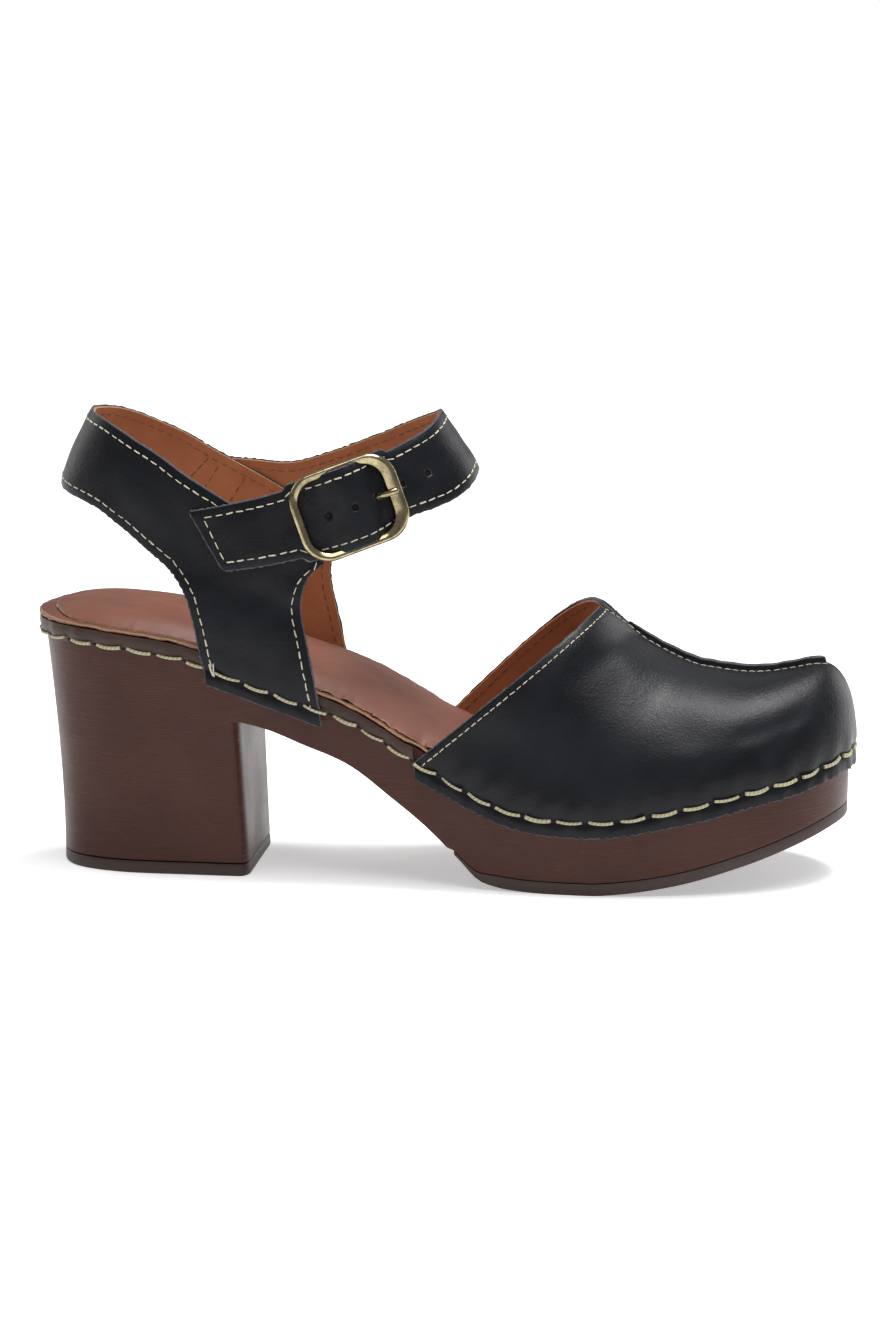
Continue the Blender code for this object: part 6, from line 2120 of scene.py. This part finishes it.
    def build(self, vamp: Vamp, quarter: Quarter, strap: AnkleStrap, footbed: Footbed) -> None:
        """Sew everything."""
        sewing = Sewing(self.place)
        f = self.finishes
        middles, gaps = self.welt_rows()
        enter(sewing.stitch("welt_stitches", [middles], self.welt, f.thread))
        # Dark ovals between the big stitches: painted shade of the stitch holes
        enter(sewing.paint_hole_shade("welt_hole_shade", [gaps], 0.85, 0.62, f.hole))
        enter(sewing.stitch("upper_stitches", self.upper_rows(quarter, strap), self.seam, f.fine_thread))
        enter(sewing.stitch("back_tacks", [self.back_tacks(quarter)], self.tack, f.fine_thread))
        enter(sewing.stitch("groove_stitches", [groove_row(footbed)], StitchKind(5.2, 3.9, 0.34, 0.45), f.thread))
        enter(sewing.stitch("vamp_stitches", self.vamp_rows(vamp), self.fine, f.fine_thread))
        enter(sewing.paint_hole_shade("strap_hole_shade", [strap.hole_row], strap.hole / 2, strap.hole / 2, f.hole))
        lining = self.lining_rows(vamp, quarter, strap)
        enter(sewing.stitch("lining_stitches", lining, self.seam, f.tan_thread))


@dataclass
class Studio:
    """Pale floor, soft light and the camera at the photograph's angle."""

    place: Place
    yaw: float = 6.8
    elevation: float = 10.0
    distance: float = 1800.0
    target: tuple[float, float, float] = (122.52, 0.0, 63.76)
    pixels_per_mm: float = 3.2406
    picture_height: int = 1321
    sensor: float = 36.0
    table_glow: float = 0.42
    room_glow: float = 0.28
    panel_strength: float = 1.6
    panel_angle: float = 50.0

    def camera(self) -> None:
        """Make the camera."""
        yaw, rise = math.radians(self.yaw), math.radians(self.elevation)
        back = np.array([math.sin(yaw) * math.cos(rise), -math.cos(yaw) * math.cos(rise), math.sin(rise)])
        target = self.place.metres(np.array(self.target))
        data = bpy.data.cameras.new("camera")
        data.sensor_width = self.sensor
        data.lens = self.pixels_per_mm * self.distance / self.picture_height * self.sensor
        data.clip_end = 100.0
        made = bpy.data.objects.new("camera", data)
        made.location = target + back * self.distance * MM
        made.rotation_euler = (math.pi / 2 - rise, 0.0, yaw)
        bpy.context.collection.objects.link(made)
        bpy.context.scene.camera = made

    def sky_panel(self) -> None:
        """Even overhead light that reaches the whole floor, with soft shadows."""
        data = bpy.data.lights.new("sky_panel", "SUN")
        data.energy = self.panel_strength
        data.angle = math.radians(self.panel_angle)
        made = bpy.data.objects.new("sky_panel", data)
        made.rotation_euler = (math.radians(14.0), math.radians(8.0), 0.0)
        bpy.context.collection.objects.link(made)

    def light(self, name: str, where: tuple, aim: tuple, size: tuple, power: float) -> None:
        """Make one softbox.

        Args:
            name: its name.
            where: its place in metres.
            aim: the point that it faces, in metres.
            size: its width and height in metres.
            power: its power in watts.
        """
        data = bpy.data.lights.new(name, "AREA")
        data.shape = "RECTANGLE"
        data.size, data.size_y = size
        data.energy = power
        made = bpy.data.objects.new(name, data)
        made.location = where
        facing = unit(np.array(where) - np.array(aim))
        yaw = math.atan2(facing[1], facing[0]) + math.pi / 2
        made.rotation_euler = (math.acos(facing[2]), 0.0, yaw)
        bpy.context.collection.objects.link(made)

    def floor(self) -> None:
        """Pale floor, wide and plain."""
        mesh = bpy.data.meshes.new("floor")
        half = 40.0
        mesh.from_pydata([(-half, -half, 0), (half, -half, 0), (half, half, 0), (-half, half, 0)], [], [(0, 1, 2, 3)])
        material, tree, shader = blank_material("lit_acrylic_table")
        shader.inputs["Base Color"].default_value = srgb("ececec")
        shader.inputs["Roughness"].default_value = 0.9
        shader.inputs["Specular IOR Level"].default_value = 0.1
        shader.inputs["Emission Color"].default_value = srgb("ffffff")
        shader.inputs["Emission Strength"].default_value = self.table_glow
        mesh.materials.append(material)
        made = bpy.data.objects.new("floor", mesh)
        bpy.context.collection.objects.link(made)

    def build(self) -> None:
        """Make the whole studio."""
        scene = bpy.context.scene
        world = bpy.data.worlds.new("studio")
        world.use_nodes = True
        scene.world = world
        background = world.node_tree.nodes["Background"]
        background.inputs["Color"].default_value = srgb("ffffff")
        background.inputs["Strength"].default_value = self.room_glow
        scene.view_settings.view_transform = "Standard"
        self.floor()
        self.sky_panel()
        self.light("overhead", (0.24, 0.13, 1.22), (0.05, 0.0, 0.0), (0.62, 0.42), 15.5)
        self.light("right", (1.0, 1.05, 0.45), (0.0, 0.0, 0.06), (0.9, 0.9), 6.0)
        self.light("left_back", (-1.2, 0.7, 0.6), (0.0, 0.0, 0.08), (0.9, 0.9), 4.5)
        self.camera()


def main() -> None:
    """Build every piece in order."""
    logging.basicConfig(level=logging.INFO, format="%(name)s %(message)s", stream=sys.stdout)
    last = Last()
    place = Place(last)
    finishes = Finishes()
    Studio(place).build()
    bottom = Bottom(last, place, finishes)
    bottom.sole_unit()
    bottom.heel_top_piece()
    bottom.forefoot_outsole()
    footbed = Footbed(last, place, finishes)
    footbed.cover()
    footbed.sock()
    Rand(last, place, finishes).build()
    vamp = Vamp(last, place, finishes)
    vamp.build()
    quarter = Quarter(last, place, finishes)
    quarter.build()
    strap = AnkleStrap(last, place, finishes)
    seat = BuckleSeat(strap)
    strap.build(seat)
    buckle = Buckle(seat, place, finishes)
    buckle.frame()
    buckle.prong()
    buckle.tab()
    Stitching(last, place, finishes).build(vamp, quarter, strap, footbed)


if __name__ == "__main__":
    main()
